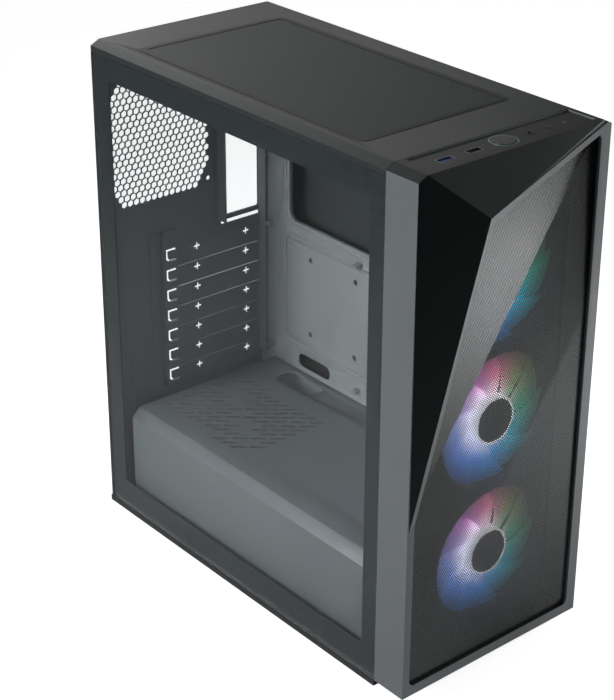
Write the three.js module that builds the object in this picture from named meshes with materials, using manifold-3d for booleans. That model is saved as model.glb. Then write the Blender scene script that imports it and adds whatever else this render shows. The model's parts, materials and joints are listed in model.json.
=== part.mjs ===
// Empty mid-tower computer case with a faceted mesh front, a glass side and three front fans.
// Millimetres, +Z up. The front faces -Y, the glass side faces -X, the back faces +Y.
// Inside this file x runs from the glass side, y from the front plane and z from the lower
// edge of the front panel; the last lines move the origin to the middle of the footprint.

import * as THREE from 'three';
import { mergeVertices } from 'three/addons/utils/BufferGeometryUtils.js';
import Module from 'manifold-3d';

const wasm = await Module();
wasm.setup();

// ---- Driving dimensions -------------------------------------------------------------------

const GAP = 0.3;                 // clearance between pieces that touch
const SHEET = 1.2;               // steel sheet

const WIDTH = 198;
const DEPTH = 404;               // front plane to the rear flanges
const TOP = 442.5;               // top of the case above the front panel's lower edge
const BASE_DROP = 6;             // how far the base pan hangs below the front panel
const CHAMFER_WIDE = 8.65;       // long top edges
const CHAMFER_DROP = 4.4;

const PANEL_DEPTH = 33.4;        // front panel, front plane to the seam
const PANEL_WALL = 2.5;
const LIP = { left: 7, right: 10, bottom: 9, top: 11 };
const APEX = [53, -20, 404.7];   // tip of the faceted front
const VALLEY_Y = 7.2;            // mesh depth along its deepest fold
const RIDGE_Y = 3;               // mesh depth along its shallow fold
const FOLD_RISE = 279;           // both folds climb by this across the mesh
const VALLEY_START = 155.8;
const MESH_SHEET = 1;

const SIDE_TOP = 433;            // upper edge of both side panels
const GLASS = 3.7;
const WINDOW = { y0: 52, y1: 382.5, z0: 24, z1: 412 };
const HEM = 2.6;                 // flat hem along the edges of the steel side panel

const TRAY_X = 180;
const UPRIGHT = { x0: 6.5, x1: 191.5, foot: -4.5 };   // the rear sheet's and front wall's edges
const TRAY_WINDOW = { y0: 240, y1: 356, z0: 250, z1: 382, radius: 10, rim: 6, raised: 2.5 };
const DRIVE_FACE = { y0: 238, y1: 360, z0: 128, z1: 230, radius: 8, raised: 1.5 };
const CABLE_SLOTS = [[108, 128, 130, 230], [108, 128, 262, 372], [300, 345, 102, 116], [180, 225, 102, 116]];
const STANDOFF = { radius: 3, height: 6.5 };
const SHROUD_SLOTS = [[150, 172, 296, 346], [44, 154, 48, 80]];
const CUT = 2;                   // how far a cutter runs past the face it cuts
const SHROUD = { x: 12, bevel: 8.5, top: 98, y1: 380 };
const WALL_Y = 34;               // chassis front wall
const REAR_Y = 401.3;            // rear sheet's inner face

const FAN = { size: 120, deep: 25, bore: 57.5, hub: 20, x: 99, firstZ: 93.5, holes: 105 };
const BLADES = 9;

const SLOT = { count: 7, pitch: 20.32, topZ: 223.45, x0: 76, x1: 176 };
const SLOT_CROSS = { places: [105, 161.7], above: 4.05, reach: 3, bar: 0.7 };
const SLOT_CHANNEL = { x0: 64, x1: 75.5, z0: 97, z1: 252.6, deep: 4, lip: 2 };
const IO_WINDOW = { x0: 131.6, z0: 250, wide: 44.45, tall: 158.75 };
const PSU = { x0: 24, wide: 150, tall: 86, rim: 6, lift: -1.5 };
const VENT_CENTRE = [66.7, 343.55];

const FOOT = { radius: 20, height: 9.2, x: 27, front: 71, rear: 374 };
const PAD = { radius: 15, height: 3.7, socket: 1.5 };

const BOARD_ROWS = [392, 237, 110];
const BOARD_COLUMNS = [384, 259.5, 156.7];
const DRIVE = { x0: 28, x1: 178, y0: 60, y1: 166.2, bay: 31, bays: 2 };

const IO_STRIP = { x0: 17.5, x1: 185, y0: 6, y1: 33 };
const IO_Y = 17.7;               // centre line of the sockets and buttons
const CIRCLE_SIDES = 32;

// ---- Materials ----------------------------------------------------------------------------

function finish(color, roughness, metalness) {
  return new THREE.MeshStandardMaterial({ color, roughness, metalness });
}

const blackPaint = finish(0x2b2e30, 0.5, 0.6);
const greySteel = finish(0x70777a, 0.45, 0.6);
const glossBlack = finish(0x101619, 0.15, 0.0);
const satinGrey = finish(0x596165, 0.4, 0.2);
const meshMetal = finish(0x3a4043, 0.45, 0.6);
const smokedGlass = finish(0x5a6468, 0.05, 0.0);
const blackPlastic = finish(0x17191a, 0.5, 0.0);
const rubber = finish(0x0d0d0d, 0.9, 0.0);
const plated = finish(0xb8bcc0, 0.3, 0.9);
const usbBlue = finish(0x2358a8, 0.5, 0.0);
const lightRing = finish(0xd8e4ea, 0.4, 0.0);
const fanTint = finish(0x8a5fc0, 0.3, 0.0);
const boardGreen = finish(0x14402a, 0.6, 0.0);

// ---- Solids -------------------------------------------------------------------------------

/** A closed geometry as a solid that can be cut and joined. */
function solidOf(geometry) {
  const bare = geometry.clone();
  bare.deleteAttribute('normal');
  bare.deleteAttribute('uv');
  const merged = mergeVertices(bare, 1e-4);
  return new wasm.Manifold(new wasm.Mesh({
    numProp: 3,
    vertProperties: new Float32Array(merged.attributes.position.array),
    triVerts: new Uint32Array(merged.index.array),
  }));
}

/** A solid back as a geometry with flat faces. */
function geometryOf(solid) {
  const mesh = solid.getMesh();
  const indexed = new THREE.BufferGeometry();
  indexed.setAttribute('position', new THREE.BufferAttribute(new Float32Array(mesh.vertProperties), 3));
  indexed.setIndex(new THREE.BufferAttribute(new Uint32Array(mesh.triVerts), 1));
  const flat = indexed.toNonIndexed();
  flat.computeVertexNormals();
  return flat;
}

function join(...solids) {
  return solids.reduce((sum, solid) => sum.add(solid));
}

function cut(body, ...tools) {
  return tools.reduce((left, tool) => left.subtract(tool), body);
}

const AXES = {
  x: new THREE.Matrix4().makeBasis(
    new THREE.Vector3(0, 1, 0), new THREE.Vector3(0, 0, 1), new THREE.Vector3(1, 0, 0)),
  y: new THREE.Matrix4().makeBasis(
    new THREE.Vector3(-1, 0, 0), new THREE.Vector3(0, 0, 1), new THREE.Vector3(0, 1, 0)),
  z: new THREE.Matrix4(),
};

/**
 * A flat shape pushed along an axis. Along x the shape lies in (y, z), along z in (x, y).
 * Along y it lies in (-x, z), so profileY turns a shape drawn in (x, z) round first.
 */
function prism(shape, axis, from, to, curveSegments = 5) {
  const settings = { depth: to - from, bevelEnabled: false, curveSegments };
  const geometry = new THREE.ExtrudeGeometry(shape, settings);
  geometry.translate(0, 0, from);
  geometry.applyMatrix4(AXES[axis]);
  return solidOf(geometry);
}

/** An outline of points as a shape. */
function outline(points) {
  return new THREE.Shape(points.map(([a, b]) => new THREE.Vector2(a, b)));
}

/** An outline in (x, z) pushed along y. */
function profileY(points, from, to) {
  return prism(outline(points.map(([x, z]) => [-x, z]).reverse()), 'y', from, to);
}

function roundedRect(a0, a1, b0, b1, radius) {
  const shape = new THREE.Shape();
  shape.moveTo(a0 + radius, b0);
  shape.lineTo(a1 - radius, b0);
  shape.absarc(a1 - radius, b0 + radius, radius, -Math.PI / 2, 0);
  shape.lineTo(a1, b1 - radius);
  shape.absarc(a1 - radius, b1 - radius, radius, 0, Math.PI / 2);
  shape.lineTo(a0 + radius, b1);
  shape.absarc(a0 + radius, b1 - radius, radius, Math.PI / 2, Math.PI);
  shape.lineTo(a0, b0 + radius);
  shape.absarc(a0 + radius, b0 + radius, radius, Math.PI, Math.PI * 1.5);
  return shape;
}

/** A rounded rectangle across x and z, pushed along y. */
function slabY(x0, x1, z0, z1, radius, from, to) {
  return prism(roundedRect(-x1, -x0, z0, z1, radius), 'y', from, to);
}

function box(x0, x1, y0, y1, z0, z1) {
  const geometry = new THREE.BoxGeometry(x1 - x0, y1 - y0, z1 - z0);
  geometry.translate((x0 + x1) / 2, (y0 + y1) / 2, (z0 + z1) / 2);
  return solidOf(geometry);
}

/** A disc or rod: centre (a, b) is (y, z) along x, (x, z) along y and (x, y) along z. */
function rod(axis, a, b, radius, from, to, sides = CIRCLE_SIDES) {
  const geometry = new THREE.CylinderGeometry(radius, radius, to - from, sides);
  geometry.rotateX(Math.PI / 2);
  geometry.translate(0, 0, (from + to) / 2);
  if (axis === 'x') {
    geometry.applyMatrix4(AXES.x);
    geometry.translate(0, a, b);
  } else if (axis === 'y') {
    geometry.applyMatrix4(AXES.y);
    geometry.translate(a, 0, b);
  } else {
    geometry.translate(a, b, 0);
  }
  return solidOf(geometry);
}

/** A turned shape about a vertical axis from (radius, z) points that start and end on the axis. */
function turned(points, sides = 24) {
  const profile = points.map(([r, z]) => new THREE.Vector2(r, z));
  const geometry = new THREE.LatheGeometry(profile, sides);
  geometry.rotateX(Math.PI / 2);
  return geometry;
}

/** A triangle of sheet: its three corners and the same three moved straight back. */
function facet(a, b, c, thickness) {
  const corners = [a, b, c, ...[a, b, c].map(([x, y, z]) => [x, y + thickness, z])];
  const geometry = new THREE.BufferGeometry();
  geometry.setAttribute('position', new THREE.Float32BufferAttribute(corners.flat(), 3));
  geometry.setIndex([0, 1, 2, 3, 5, 4, 0, 3, 4, 0, 4, 1, 1, 4, 5, 1, 5, 2, 2, 5, 3, 2, 3, 0]);
  return solidOf(geometry);
}

// ---- Assembly helpers ---------------------------------------------------------------------

const tower = new THREE.Group();

function addPart(name, shape, material) {
  const geometry = shape.isBufferGeometry ? shape : geometryOf(shape);
  const mesh = new THREE.Mesh(geometry, material);
  mesh.name = name;
  tower.add(mesh);
  return mesh;
}

// ---- Chassis ------------------------------------------------------------------------------

const FILTER_SLOT = { x0: 51, x1: 147, y0: 262, y1: 398 };

/** Floor pan: a shallow tray with the power supply's intake and the rails of its filter. */
function basePan() {
  const y0 = WALL_Y;
  const y1 = DEPTH + 2;
  const body = box(0, WIDTH, y0, y1, -BASE_DROP, -GAP);
  const hollow = box(SHEET, WIDTH - SHEET, y0 - 1, y1 - SHEET, SHEET - BASE_DROP, 1);
  const { x0, x1 } = FILTER_SLOT;
  const intake = prism(roundedRect(x0 + 8, x1 - 8, 270, 390, 6), 'z', -10, 0);
  const rails = [[x0 - 2.7, 1], [x1 + 2.7, -1]].flatMap(([edge, inward]) => [
    sideBox(edge, edge + 2.4 * inward, -10.2, -BASE_DROP + 0.2),
    sideBox(edge, edge + 4.4 * inward, -10.2, -9.4),
  ]);
  return join(cut(body, hollow, intake), ...rails);
}

/** A rail of the bottom filter between two x values given in either order. */
function sideBox(xa, xb, z0, z1) {
  return box(Math.min(xa, xb), Math.max(xa, xb), FILTER_SLOT.y0, FILTER_SLOT.y1, z0, z1);
}

const THUMB = { radius: 5.5, head: 8, shank: 1.9, hole: 2.3 };
const THUMB_PLACES = [
  { name: 'glass_thumbscrew_upper', x: 10.5, z: 418 },
  { name: 'glass_thumbscrew_lower', x: 10.5, z: 20 },
  { name: 'panel_thumbscrew_upper', x: 187, z: 418 },
  { name: 'panel_thumbscrew_lower', x: 187, z: 20 },
];

function thumbHoles() {
  return THUMB_PLACES.map(({ x, z }) => rod('y', x, z, THUMB.hole, REAR_Y - 5, DEPTH + 5, 16));
}

/** Rear sheet with the board's socket window, the card slots and the power supply's window. */
function rearPanel() {
  const y1 = REAR_Y + SHEET;
  const flangeDeep = 14;
  const screwHole = 2.2;
  const { x0: left, x1: right, foot } = UPRIGHT;
  const body = box(left, right, REAR_Y, y1, foot, SIDE_TOP + 5);
  const flanges = [
    box(left, left + SHEET, REAR_Y - flangeDeep, REAR_Y + 0.1, foot, SIDE_TOP),
    box(right - SHEET, right, REAR_Y - flangeDeep, REAR_Y + 0.1, foot, SIDE_TOP),
  ];
  const { x0, z0, wide, tall } = IO_WINDOW;
  const io = slabY(x0, x0 + wide, z0, z0 + tall, 2, REAR_Y - CUT, y1 + CUT);
  const slots = box(SLOT.x0, SLOT.x1, REAR_Y - CUT, y1 + CUT,
    SLOT.topZ - SLOT.pitch * (SLOT.count - 0.5), SLOT.topZ + SLOT.pitch / 2);
  const psu = slabY(PSU.x0 + PSU.rim, PSU.x0 + PSU.wide - PSU.rim,
    PSU.rim + PSU.lift, PSU.tall - PSU.rim + PSU.lift, 3, REAR_Y - CUT, y1 + CUT);
  const fanHoles = [-1, 1].flatMap((sx) => [-1, 1].map((sz) => rod('y',
    VENT_CENTRE[0] + sx * FAN.holes / 2, VENT_CENTRE[1] + sz * FAN.holes / 2, screwHole,
    REAR_Y - CUT, y1 + CUT, 10)));
  return cut(join(body, ...flanges), io, slots, psu, ...fanHoles, ...thumbHoles());
}

/** One blanking strip with its two cross-shaped holes. */
function slotCover(index) {
  const z = SLOT.topZ - index * SLOT.pitch;
  const half = SLOT.pitch / 2 - GAP;
  const strip = box(SLOT.x0 + GAP, SLOT.x1 - GAP, REAR_Y, REAR_Y + SHEET, z - half, z + half);
  const { places, above, reach, bar } = SLOT_CROSS;
  const middle = z + above;
  const crosses = places.map((x) => join(
    box(x - reach, x + reach, REAR_Y - 1, DEPTH, middle - bar, middle + bar),
    box(x - bar, x + bar, REAR_Y - 1, DEPTH, middle - reach, middle + reach)));
  return cut(strip, ...crosses);
}

/** Channel that clamps the blanking strips' ends, on the inside of the rear sheet. */
function slotBracket() {
  const y1 = REAR_Y - GAP;
  const { x0, x1, z0, z1, deep, lip } = SLOT_CHANNEL;
  const channel = box(x0, x1, y1 - deep, y1, z0, z1);
  const groove = box(x0 + lip, x1 - lip, y1 - deep - 1, y1 - SHEET, z0 - 2, z1 + 2);
  return cut(channel, groove);
}

/** Motherboard tray with the cooler window and its raised rim, the drive panel and cable slots. */
function motherboardTray() {
  const plate = box(TRAY_X, TRAY_X + SHEET, 44, REAR_Y - GAP, UPRIGHT.foot, SIDE_TOP - 0.5);
  const { y0, y1, z0, z1, radius, rim, raised } = TRAY_WINDOW;
  const face = DRIVE_FACE;
  const rimOutline = roundedRect(y0 - rim, y1 + rim, z0 - rim, z1 + rim, radius + 4);
  const rimPress = prism(rimOutline, 'x', TRAY_X - raised, TRAY_X + 0.1);
  const window = prism(roundedRect(y0, y1, z0, z1, radius), 'x', TRAY_X - 5, TRAY_X + 5);
  const driveOutline = roundedRect(face.y0, face.y1, face.z0, face.z1, face.radius);
  const drivePanel = prism(driveOutline, 'x', TRAY_X - face.raised, TRAY_X + 0.1);
  const cableSlots = CABLE_SLOTS
    .map(([a, b, c, d]) => prism(roundedRect(a, b, c, d, 6), 'x', TRAY_X - 5, TRAY_X + 5));
  return cut(join(plate, rimPress, drivePanel), window, ...cableSlots);
}

/** Hexagonal pillar that a motherboard screw goes into. */
function standoff(y, z) {
  return rod('x', y, z, STANDOFF.radius, TRAY_X - STANDOFF.height, TRAY_X - GAP, 6);
}

/** Folded cover over the power supply bay: side wall, slanted shoulder and flat top. */
function psuShroud() {
  const { x, bevel, top, y1 } = SHROUD;
  const inner = SHEET * 0.41;
  const sheet = profileY([
    [x, -4.5],
    [x, top - bevel],
    [x + bevel, top],
    [TRAY_X - GAP, top],
    [TRAY_X - GAP, top - SHEET],
    [x + bevel + inner, top - SHEET],
    [x + SHEET, top - bevel - inner],
    [x + SHEET, -4.5],
  ].reverse(), WALL_Y + SHEET + GAP, y1);
  const [cableSlot, frontSlot] = SHROUD_SLOTS
    .map(([a, b, c, d]) => prism(roundedRect(a, b, c, d, 6), 'z', top - 5, top + 5));
  return cut(sheet, cableSlot, frontSlot);
}

/** Front wall of the chassis, with a round hole behind each fan and the panel's peg holes. */
function frontWall() {
  const flangeDeep = 16;
  const { x0: left, x1: right, foot } = UPRIGHT;
  const wallTop = SIDE_TOP - 0.5;
  const plate = box(left, right, WALL_Y, WALL_Y + SHEET, foot, wallTop);
  const flanges = [
    box(left, left + SHEET, WALL_Y, WALL_Y + flangeDeep, foot, wallTop),
    box(right - SHEET, right, WALL_Y, WALL_Y + flangeDeep, foot, wallTop),
  ];
  const bores = fanCentres().map((z) => rod('y', FAN.x, z, FAN.bore, WALL_Y - CUT, WALL_Y + SHEET + CUT));
  const pegHoles = PEGS.map(([x, z]) => rod('y', x, z, PEG.hole, WALL_Y - CUT, WALL_Y + SHEET + CUT, 12));
  return cut(join(plate, ...flanges), ...bores, ...pegHoles);
}

function fanCentres() {
  return [0, 1, 2].map((n) => FAN.firstZ + n * FAN.size);
}

const FILTER = { x0: 16, x1: 169, y0: 76.5, y1: 359, deep: 1.5 };

/** Top cover: chamfered along both sides, with a shallow recess and two fan holes. */
function topPanel() {
  const thick = 3;
  const wall = 1.6;
  const section = [
    [0, SIDE_TOP + GAP],
    [0, TOP - CHAMFER_DROP],
    [CHAMFER_WIDE, TOP],
    [WIDTH - CHAMFER_WIDE, TOP],
    [WIDTH, TOP - CHAMFER_DROP],
    [WIDTH, SIDE_TOP + GAP],
    [WIDTH - wall, SIDE_TOP + GAP],
    [WIDTH - wall, TOP - CHAMFER_DROP - 1.2],
    [WIDTH - CHAMFER_WIDE, TOP - thick],
    [CHAMFER_WIDE, TOP - thick],
    [wall, TOP - CHAMFER_DROP - 1.2],
    [wall, SIDE_TOP + GAP],
  ];
  const body = profileY(section.reverse(), PANEL_DEPTH + GAP, DEPTH);
  const { x0, x1, y0, y1, deep } = FILTER;
  const recess = prism(roundedRect(x0 - GAP, x1 + GAP, y0 - GAP, y1 + GAP, 8), 'z', TOP - deep, TOP + 5);
  const bores = [150, 285].map((y) => rod('z', (x0 + x1) / 2, y, FAN.bore, TOP - 10, TOP + 5));
  return cut(body, recess, ...bores);
}

/** Magnetic dust filter that lies in the top recess. */
function topFilter() {
  const { x0, x1, y0, y1, deep } = FILTER;
  return prism(roundedRect(x0, x1, y0, y1, 7.7), 'z', TOP - deep + GAP, TOP + GAP);
}

/** Framed dust filter under the power supply, with a finger tab at the back. */
function bottomFilter() {
  const { x0, x1, y0 } = FILTER_SLOT;
  const frame = box(x0, x1, y0, 403, -9.1, -BASE_DROP - GAP);
  const tab = box(84, 114, 402, DEPTH + 5, -12, -BASE_DROP - GAP);
  return join(frame, tab);
}

/** Open cage with two bays for 3.5-inch drives. */
function driveCage() {
  const { x0, x1, y0, y1, bay, bays } = DRIVE;
  const floor = SHEET - BASE_DROP + GAP;
  const top = floor + bay * bays;
  const walls = [box(x0, x1, y0, y0 + SHEET, floor, top), box(x0, x1, y1 - SHEET, y1, floor, top)];
  const shelves = [1, 2].map((n) => box(x0, x1, y0, y1, floor + n * bay - SHEET, floor + n * bay));
  const feet = [
    box(x0, x1, y0 - 8, y0 + 0.1, floor, floor + SHEET),
    box(x0, x1, y1 - 0.1, y1 + 8, floor, floor + SHEET),
  ];
  return join(...walls, ...shelves, ...feet);
}

/** Round foot, slightly tapered, with a shallow socket for its pad. */
function foot() {
  const { radius, height } = FOOT;
  const inner = PAD.radius + GAP;
  return turned([
    [0, PAD.socket], [inner, PAD.socket], [inner, 0],
    [radius - 2, 0], [radius, 2.5], [radius, height], [0, height],
  ]);
}

/** Rubber pad that the foot stands on. */
function pad() {
  const { radius, height } = PAD;
  return turned([[0, 0], [radius - 0.6, 0], [radius, 0.6], [radius, height], [0, height]]);
}

// ---- Front panel --------------------------------------------------------------------------

const PEGS = [[18, 22], [180, 22], [18, 412], [180, 412]];
const PEG = { radius: 3, hole: 3.4, root: 20, web: 1.5 };
const CORNER_LEFT = [4.3, 0, 440.3];
const CORNER_RIGHT = [194.4, 0, 439.9];
const SIDE_LEFT = [0, 0, TOP - CHAMFER_DROP];
const FACET_FOOT = [1.5, 0, 154.4];
const EDGE_LEFT = [CHAMFER_WIDE, 0, TOP];
const EDGE_RIGHT = [WIDTH - CHAMFER_WIDE, 0, TOP];
const GLOSS_WALL = 2.8;
const RIM_WALL = 1.6;
const RIM_TIP = [57.5, -18.7, 400.3];    // inner corners of the rim along the two facets
const RIM_RIGHT = [192, 0.6, 433];
const RIM_LEFT = [6.8, 0.3, 157];

/** Outline of the front panel across x and z, drawn in by the same amount on every side. */
function panelOutline(inset) {
  return [
    [inset, inset],
    [WIDTH - inset, inset],
    [WIDTH - inset, TOP - CHAMFER_DROP - inset * 0.6],
    [WIDTH - CHAMFER_WIDE - inset * 0.4, TOP - inset],
    [CHAMFER_WIDE + inset * 0.4, TOP - inset],
    [inset, TOP - CHAMFER_DROP - inset * 0.6],
  ];
}

/** Moulded front panel: four walls, the lip round the mesh, two solid facets, a rim and four pegs. */
function frontBezel() {
  const lipDeep = 2.5;
  const topThick = 6.5;
  const shell = profileY(panelOutline(0).reverse(), 0, PANEL_DEPTH);
  const hollow = slabY(PANEL_WALL, WIDTH - PANEL_WALL, PANEL_WALL, TOP - topThick, 2,
    lipDeep, PANEL_DEPTH + 1);
  const window = slabY(LIP.left, WIDTH - LIP.right, LIP.bottom, TOP - LIP.top, 5, -1, lipDeep + 1);
  const pocket = box(IO_STRIP.x0 - GAP, IO_STRIP.x1 + GAP, IO_STRIP.y0 - GAP, IO_STRIP.y1 + GAP,
    STRIP_UNDER - GAP, TOP + 1);
  const well = box(IO_STRIP.x0 + 6, IO_STRIP.x1 - 6, IO_STRIP.y0 + 2.5, IO_STRIP.y1 - 4, TOP - 8, TOP);
  const ringWell = rod('z', POWER.x, IO_Y, POWER.ringOut + 0.5, TOP - 8, TOP);
  const facets = [
    facet(CORNER_LEFT, APEX, EDGE_LEFT, GLOSS_WALL),
    facet(EDGE_LEFT, APEX, EDGE_RIGHT, GLOSS_WALL),
    facet(EDGE_RIGHT, APEX, CORNER_RIGHT, GLOSS_WALL),
    facet(SIDE_LEFT, APEX, CORNER_LEFT, GLOSS_WALL),
    facet(SIDE_LEFT, FACET_FOOT, APEX, GLOSS_WALL),
    facet(APEX, RIM_RIGHT, CORNER_RIGHT, RIM_WALL),
    facet(APEX, RIM_TIP, RIM_RIGHT, RIM_WALL),
    facet(APEX, FACET_FOOT, RIM_TIP, RIM_WALL),
    facet(FACET_FOOT, RIM_LEFT, RIM_TIP, RIM_WALL),
  ];
  const pegs = PEGS.flatMap(([x, z]) => [
    rod('y', x, z, PEG.radius, PEG.root, WALL_Y + 8, 12),
    box(x < FAN.x ? 1 : x - PEG.radius, x < FAN.x ? x + PEG.radius : WIDTH - 1,
      PEG.root, PEG.root + 10, z - PEG.web, z + PEG.web),
  ]);
  return join(cut(shell, hollow, window, pocket, well, ringWell), ...facets, ...pegs);
}

/** Perforated sheet in three facets: steep, tilted and flat, folded on two parallel lines. */
function frontMesh() {
  const left = 5;
  const right = WIDTH - 8;
  const bottom = 7;
  const valleyLeft = [left, VALLEY_Y, VALLEY_START];
  const valleyRight = [right, VALLEY_Y, VALLEY_START + FOLD_RISE];
  const ridgeLeft = [left, RIDGE_Y, bottom];
  const ridgeRight = [right, RIDGE_Y, bottom + FOLD_RISE];
  const lowRight = [right, RIDGE_Y, bottom];
  const tip = [APEX[0] + 2.5, APEX[1] + 3.6, APEX[2] - 1.5];
  return join(
    facet(tip, valleyLeft, valleyRight, MESH_SHEET),
    facet(valleyLeft, ridgeLeft, valleyRight, MESH_SHEET),
    facet(valleyRight, ridgeLeft, ridgeRight, MESH_SHEET),
    facet(ridgeLeft, lowRight, ridgeRight, MESH_SHEET));
}

const SOCKETS = {
  usb3: { x: 41.7, half: [8, 4] },
  usb2: { x: 70.4, half: [8, 4] },
};
const POWER = { x: 100.8, cap: 9.2, ringIn: 9.7, ringOut: 11.7, travel: 1.5 };
const JACK = { x: 127.6, outer: 4.6, bore: 1.8 };
const RESET = { x: 147.9, radius: 2.6, travel: 0.8 };
const LED = { x: 165.2, radius: 1.3 };
const STRIP_TOP = TOP - 1.4;
const STRIP_UNDER = TOP - 3.9;
const BOARD_TOP = TOP - 16.5;

/** Strip that frames the sockets and buttons, sunk a little into the top of the front panel. */
function ioStrip() {
  const outline = roundedRect(IO_STRIP.x0, IO_STRIP.x1, IO_STRIP.y0, IO_STRIP.y1, 3);
  const plate = prism(outline, 'z', STRIP_UNDER, STRIP_TOP);
  const socketHoles = Object.values(SOCKETS).map(({ x, half: [a, b] }) => box(
    x - a - GAP, x + a + GAP, IO_Y - b - GAP, IO_Y + b + GAP, STRIP_UNDER - 2, STRIP_TOP + 2));
  const rounds = [
    [POWER.x, POWER.ringOut], [JACK.x, JACK.outer], [RESET.x, RESET.radius], [LED.x, LED.radius],
  ];
  const roundHoles = rounds
    .map(([x, radius]) => rod('z', x, IO_Y, radius + GAP, STRIP_UNDER - 2, STRIP_TOP + 2, 24));
  return cut(plate, ...socketHoles, ...roundHoles);
}

/** Upright USB-A socket: a plated sleeve, open at the top, with its contact tongue. */
function usbSocket({ x, half: [a, b] }) {
  const under = BOARD_TOP + GAP;
  const sleeve = box(x - a, x + a, IO_Y - b, IO_Y + b, under, STRIP_TOP);
  const mouth = box(x - 6.25, x + 6.25, IO_Y - 2.6, IO_Y + 2.6, under + 2, STRIP_TOP + 1);
  const tongue = box(x - 5.5, x + 5.5, IO_Y + 0.2, IO_Y + 2, under + 1, STRIP_TOP - 1.5);
  return join(cut(sleeve, mouth), tongue);
}

/** Round sound socket. */
function audioJack() {
  const under = BOARD_TOP + GAP;
  const body = rod('z', JACK.x, IO_Y, JACK.outer, under, STRIP_TOP + 0.3, 24);
  const bore = rod('z', JACK.x, IO_Y, JACK.bore, under + 2, STRIP_TOP + 2, 16);
  return cut(body, bore);
}

/** Light ring round the power button, standing on the circuit board. */
function powerRing() {
  const body = rod('z', POWER.x, IO_Y, POWER.ringOut, BOARD_TOP + GAP, STRIP_TOP + 0.5);
  const bore = rod('z', POWER.x, IO_Y, POWER.ringIn, BOARD_TOP - 2, STRIP_TOP + 2);
  return cut(body, bore);
}

/** Round cap with a thin stem that ends above the board by its travel. */
function powerButton() {
  const cap = rod('z', POWER.x, IO_Y, POWER.cap, STRIP_TOP - 5, STRIP_TOP + 0.8);
  const stem = rod('z', POWER.x, IO_Y, 3, BOARD_TOP + POWER.travel + 0.6, STRIP_TOP - 4.9, 16);
  return join(cap, stem);
}

/** Small pin button. */
function resetButton() {
  return rod('z', RESET.x, IO_Y, RESET.radius, BOARD_TOP + RESET.travel + 0.6, STRIP_TOP + 0.5, 20);
}

/** Clear pin over the drive light. */
function ledLens() {
  return rod('z', LED.x, IO_Y, LED.radius, BOARD_TOP + GAP, STRIP_TOP + 0.2, 12);
}

/** Circuit board behind the sockets. */
function ioBoard() {
  return box(27, 175, IO_STRIP.y0 + 3, IO_STRIP.y1 - 4.5, BOARD_TOP - 1.6, BOARD_TOP);
}

// ---- Side panels --------------------------------------------------------------------------

const FLANGE_Y = REAR_Y + SHEET + GAP;

/** Pane of smoked glass, the whole height of the side. */
function sideGlass() {
  return prism(roundedRect(PANEL_DEPTH + GAP, FLANGE_Y - GAP, GAP / 2, SIDE_TOP, 1), 'x', 0, GLASS, 2);
}

/** Steel carrier behind the glass, with the window and the screw tabs round the back. */
function glassFrame() {
  const x0 = GLASS + GAP;
  const x1 = x0 + SHEET;
  const plate = box(x0, x1, PANEL_DEPTH + GAP, DEPTH, GAP / 2, SIDE_TOP);
  const window = prism(roundedRect(WINDOW.y0, WINDOW.y1, WINDOW.z0, WINDOW.z1, 2), 'x', x0 - 2, x1 + 2, 2);
  const flange = box(0, x1 + 2, FLANGE_Y, DEPTH, GAP / 2, SIDE_TOP);
  const tabs = THUMB_PLACES.slice(0, 2).map(({ x, z }) => slabY(
    1, x + THUMB.radius + 1, z - 11, z + 11, 4, FLANGE_Y, DEPTH));
  return cut(join(plate, flange, ...tabs), window, ...thumbHoles());
}

/** Steel side panel: a shallow pan with hemmed edges and a flange round the back. */
function rightPanel() {
  const x0 = WIDTH - HEM;
  const pan = box(x0, WIDTH, PANEL_DEPTH + GAP, DEPTH, GAP / 2, SIDE_TOP);
  const front = PANEL_DEPTH + GAP + SHEET;
  const hollow = box(x0 - 1, WIDTH - SHEET, front, FLANGE_Y, SHEET + GAP / 2, SIDE_TOP - SHEET);
  const flange = box(181, WIDTH, FLANGE_Y, DEPTH, GAP / 2, SIDE_TOP);
  return cut(join(cut(pan, hollow), flange), ...thumbHoles());
}

/** Knurled screw that stays in its panel and is turned by hand. */
function thumbscrew({ x, z }) {
  const flutes = 20;
  const head = new THREE.Shape();
  for (let n = 0; n < flutes; n += 1) {
    const angle = (n / flutes) * Math.PI * 2;
    const radius = n % 2 === 0 ? THUMB.radius : THUMB.radius - 0.5;
    const point = [radius * Math.cos(angle), radius * Math.sin(angle)];
    if (n === 0) {
      head.moveTo(...point);
    } else {
      head.lineTo(...point);
    }
  }
  const knob = prism(head, 'y', DEPTH + GAP, DEPTH + GAP + THUMB.head);
  const shank = rod('y', 0, 0, THUMB.shank, REAR_Y - 4, DEPTH + GAP + 1, 12);
  return join(knob, shank).translate([x, 0, z]);
}

// ---- Fans ---------------------------------------------------------------------------------

const FAN_FRONT = WALL_Y - GAP - FAN.deep;

/** Square fan frame with the motor's seat on four struts at the back. */
function fanFrame(z) {
  const half = FAN.size / 2 - GAP / 2;
  const back = WALL_Y - GAP;
  const ring = cut(
    slabY(FAN.x - half, FAN.x + half, z - half, z + half, 6, FAN_FRONT, back),
    rod('y', FAN.x, z, FAN.bore, FAN_FRONT - 1, back + 1, 40));
  const waist = cut(
    rod('y', FAN.x, z, FAN.bore + 14, FAN_FRONT + 4, back - 4, 24),
    rod('y', FAN.x, z, FAN.bore + 2, FAN_FRONT, back, 40));
  const seat = rod('y', FAN.x, z, FAN.hub, back - 4, back, 24);
  const struts = [1, -1].map((lean) => {
    const bar = box(-FAN.bore - 1, FAN.bore + 1, back - 3.5, back, -2, 2);
    return bar.rotate([0, 45 * lean, 0]).translate([FAN.x, 0, z]);
  });
  return join(cut(ring, waist), seat, ...struts);
}

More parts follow.
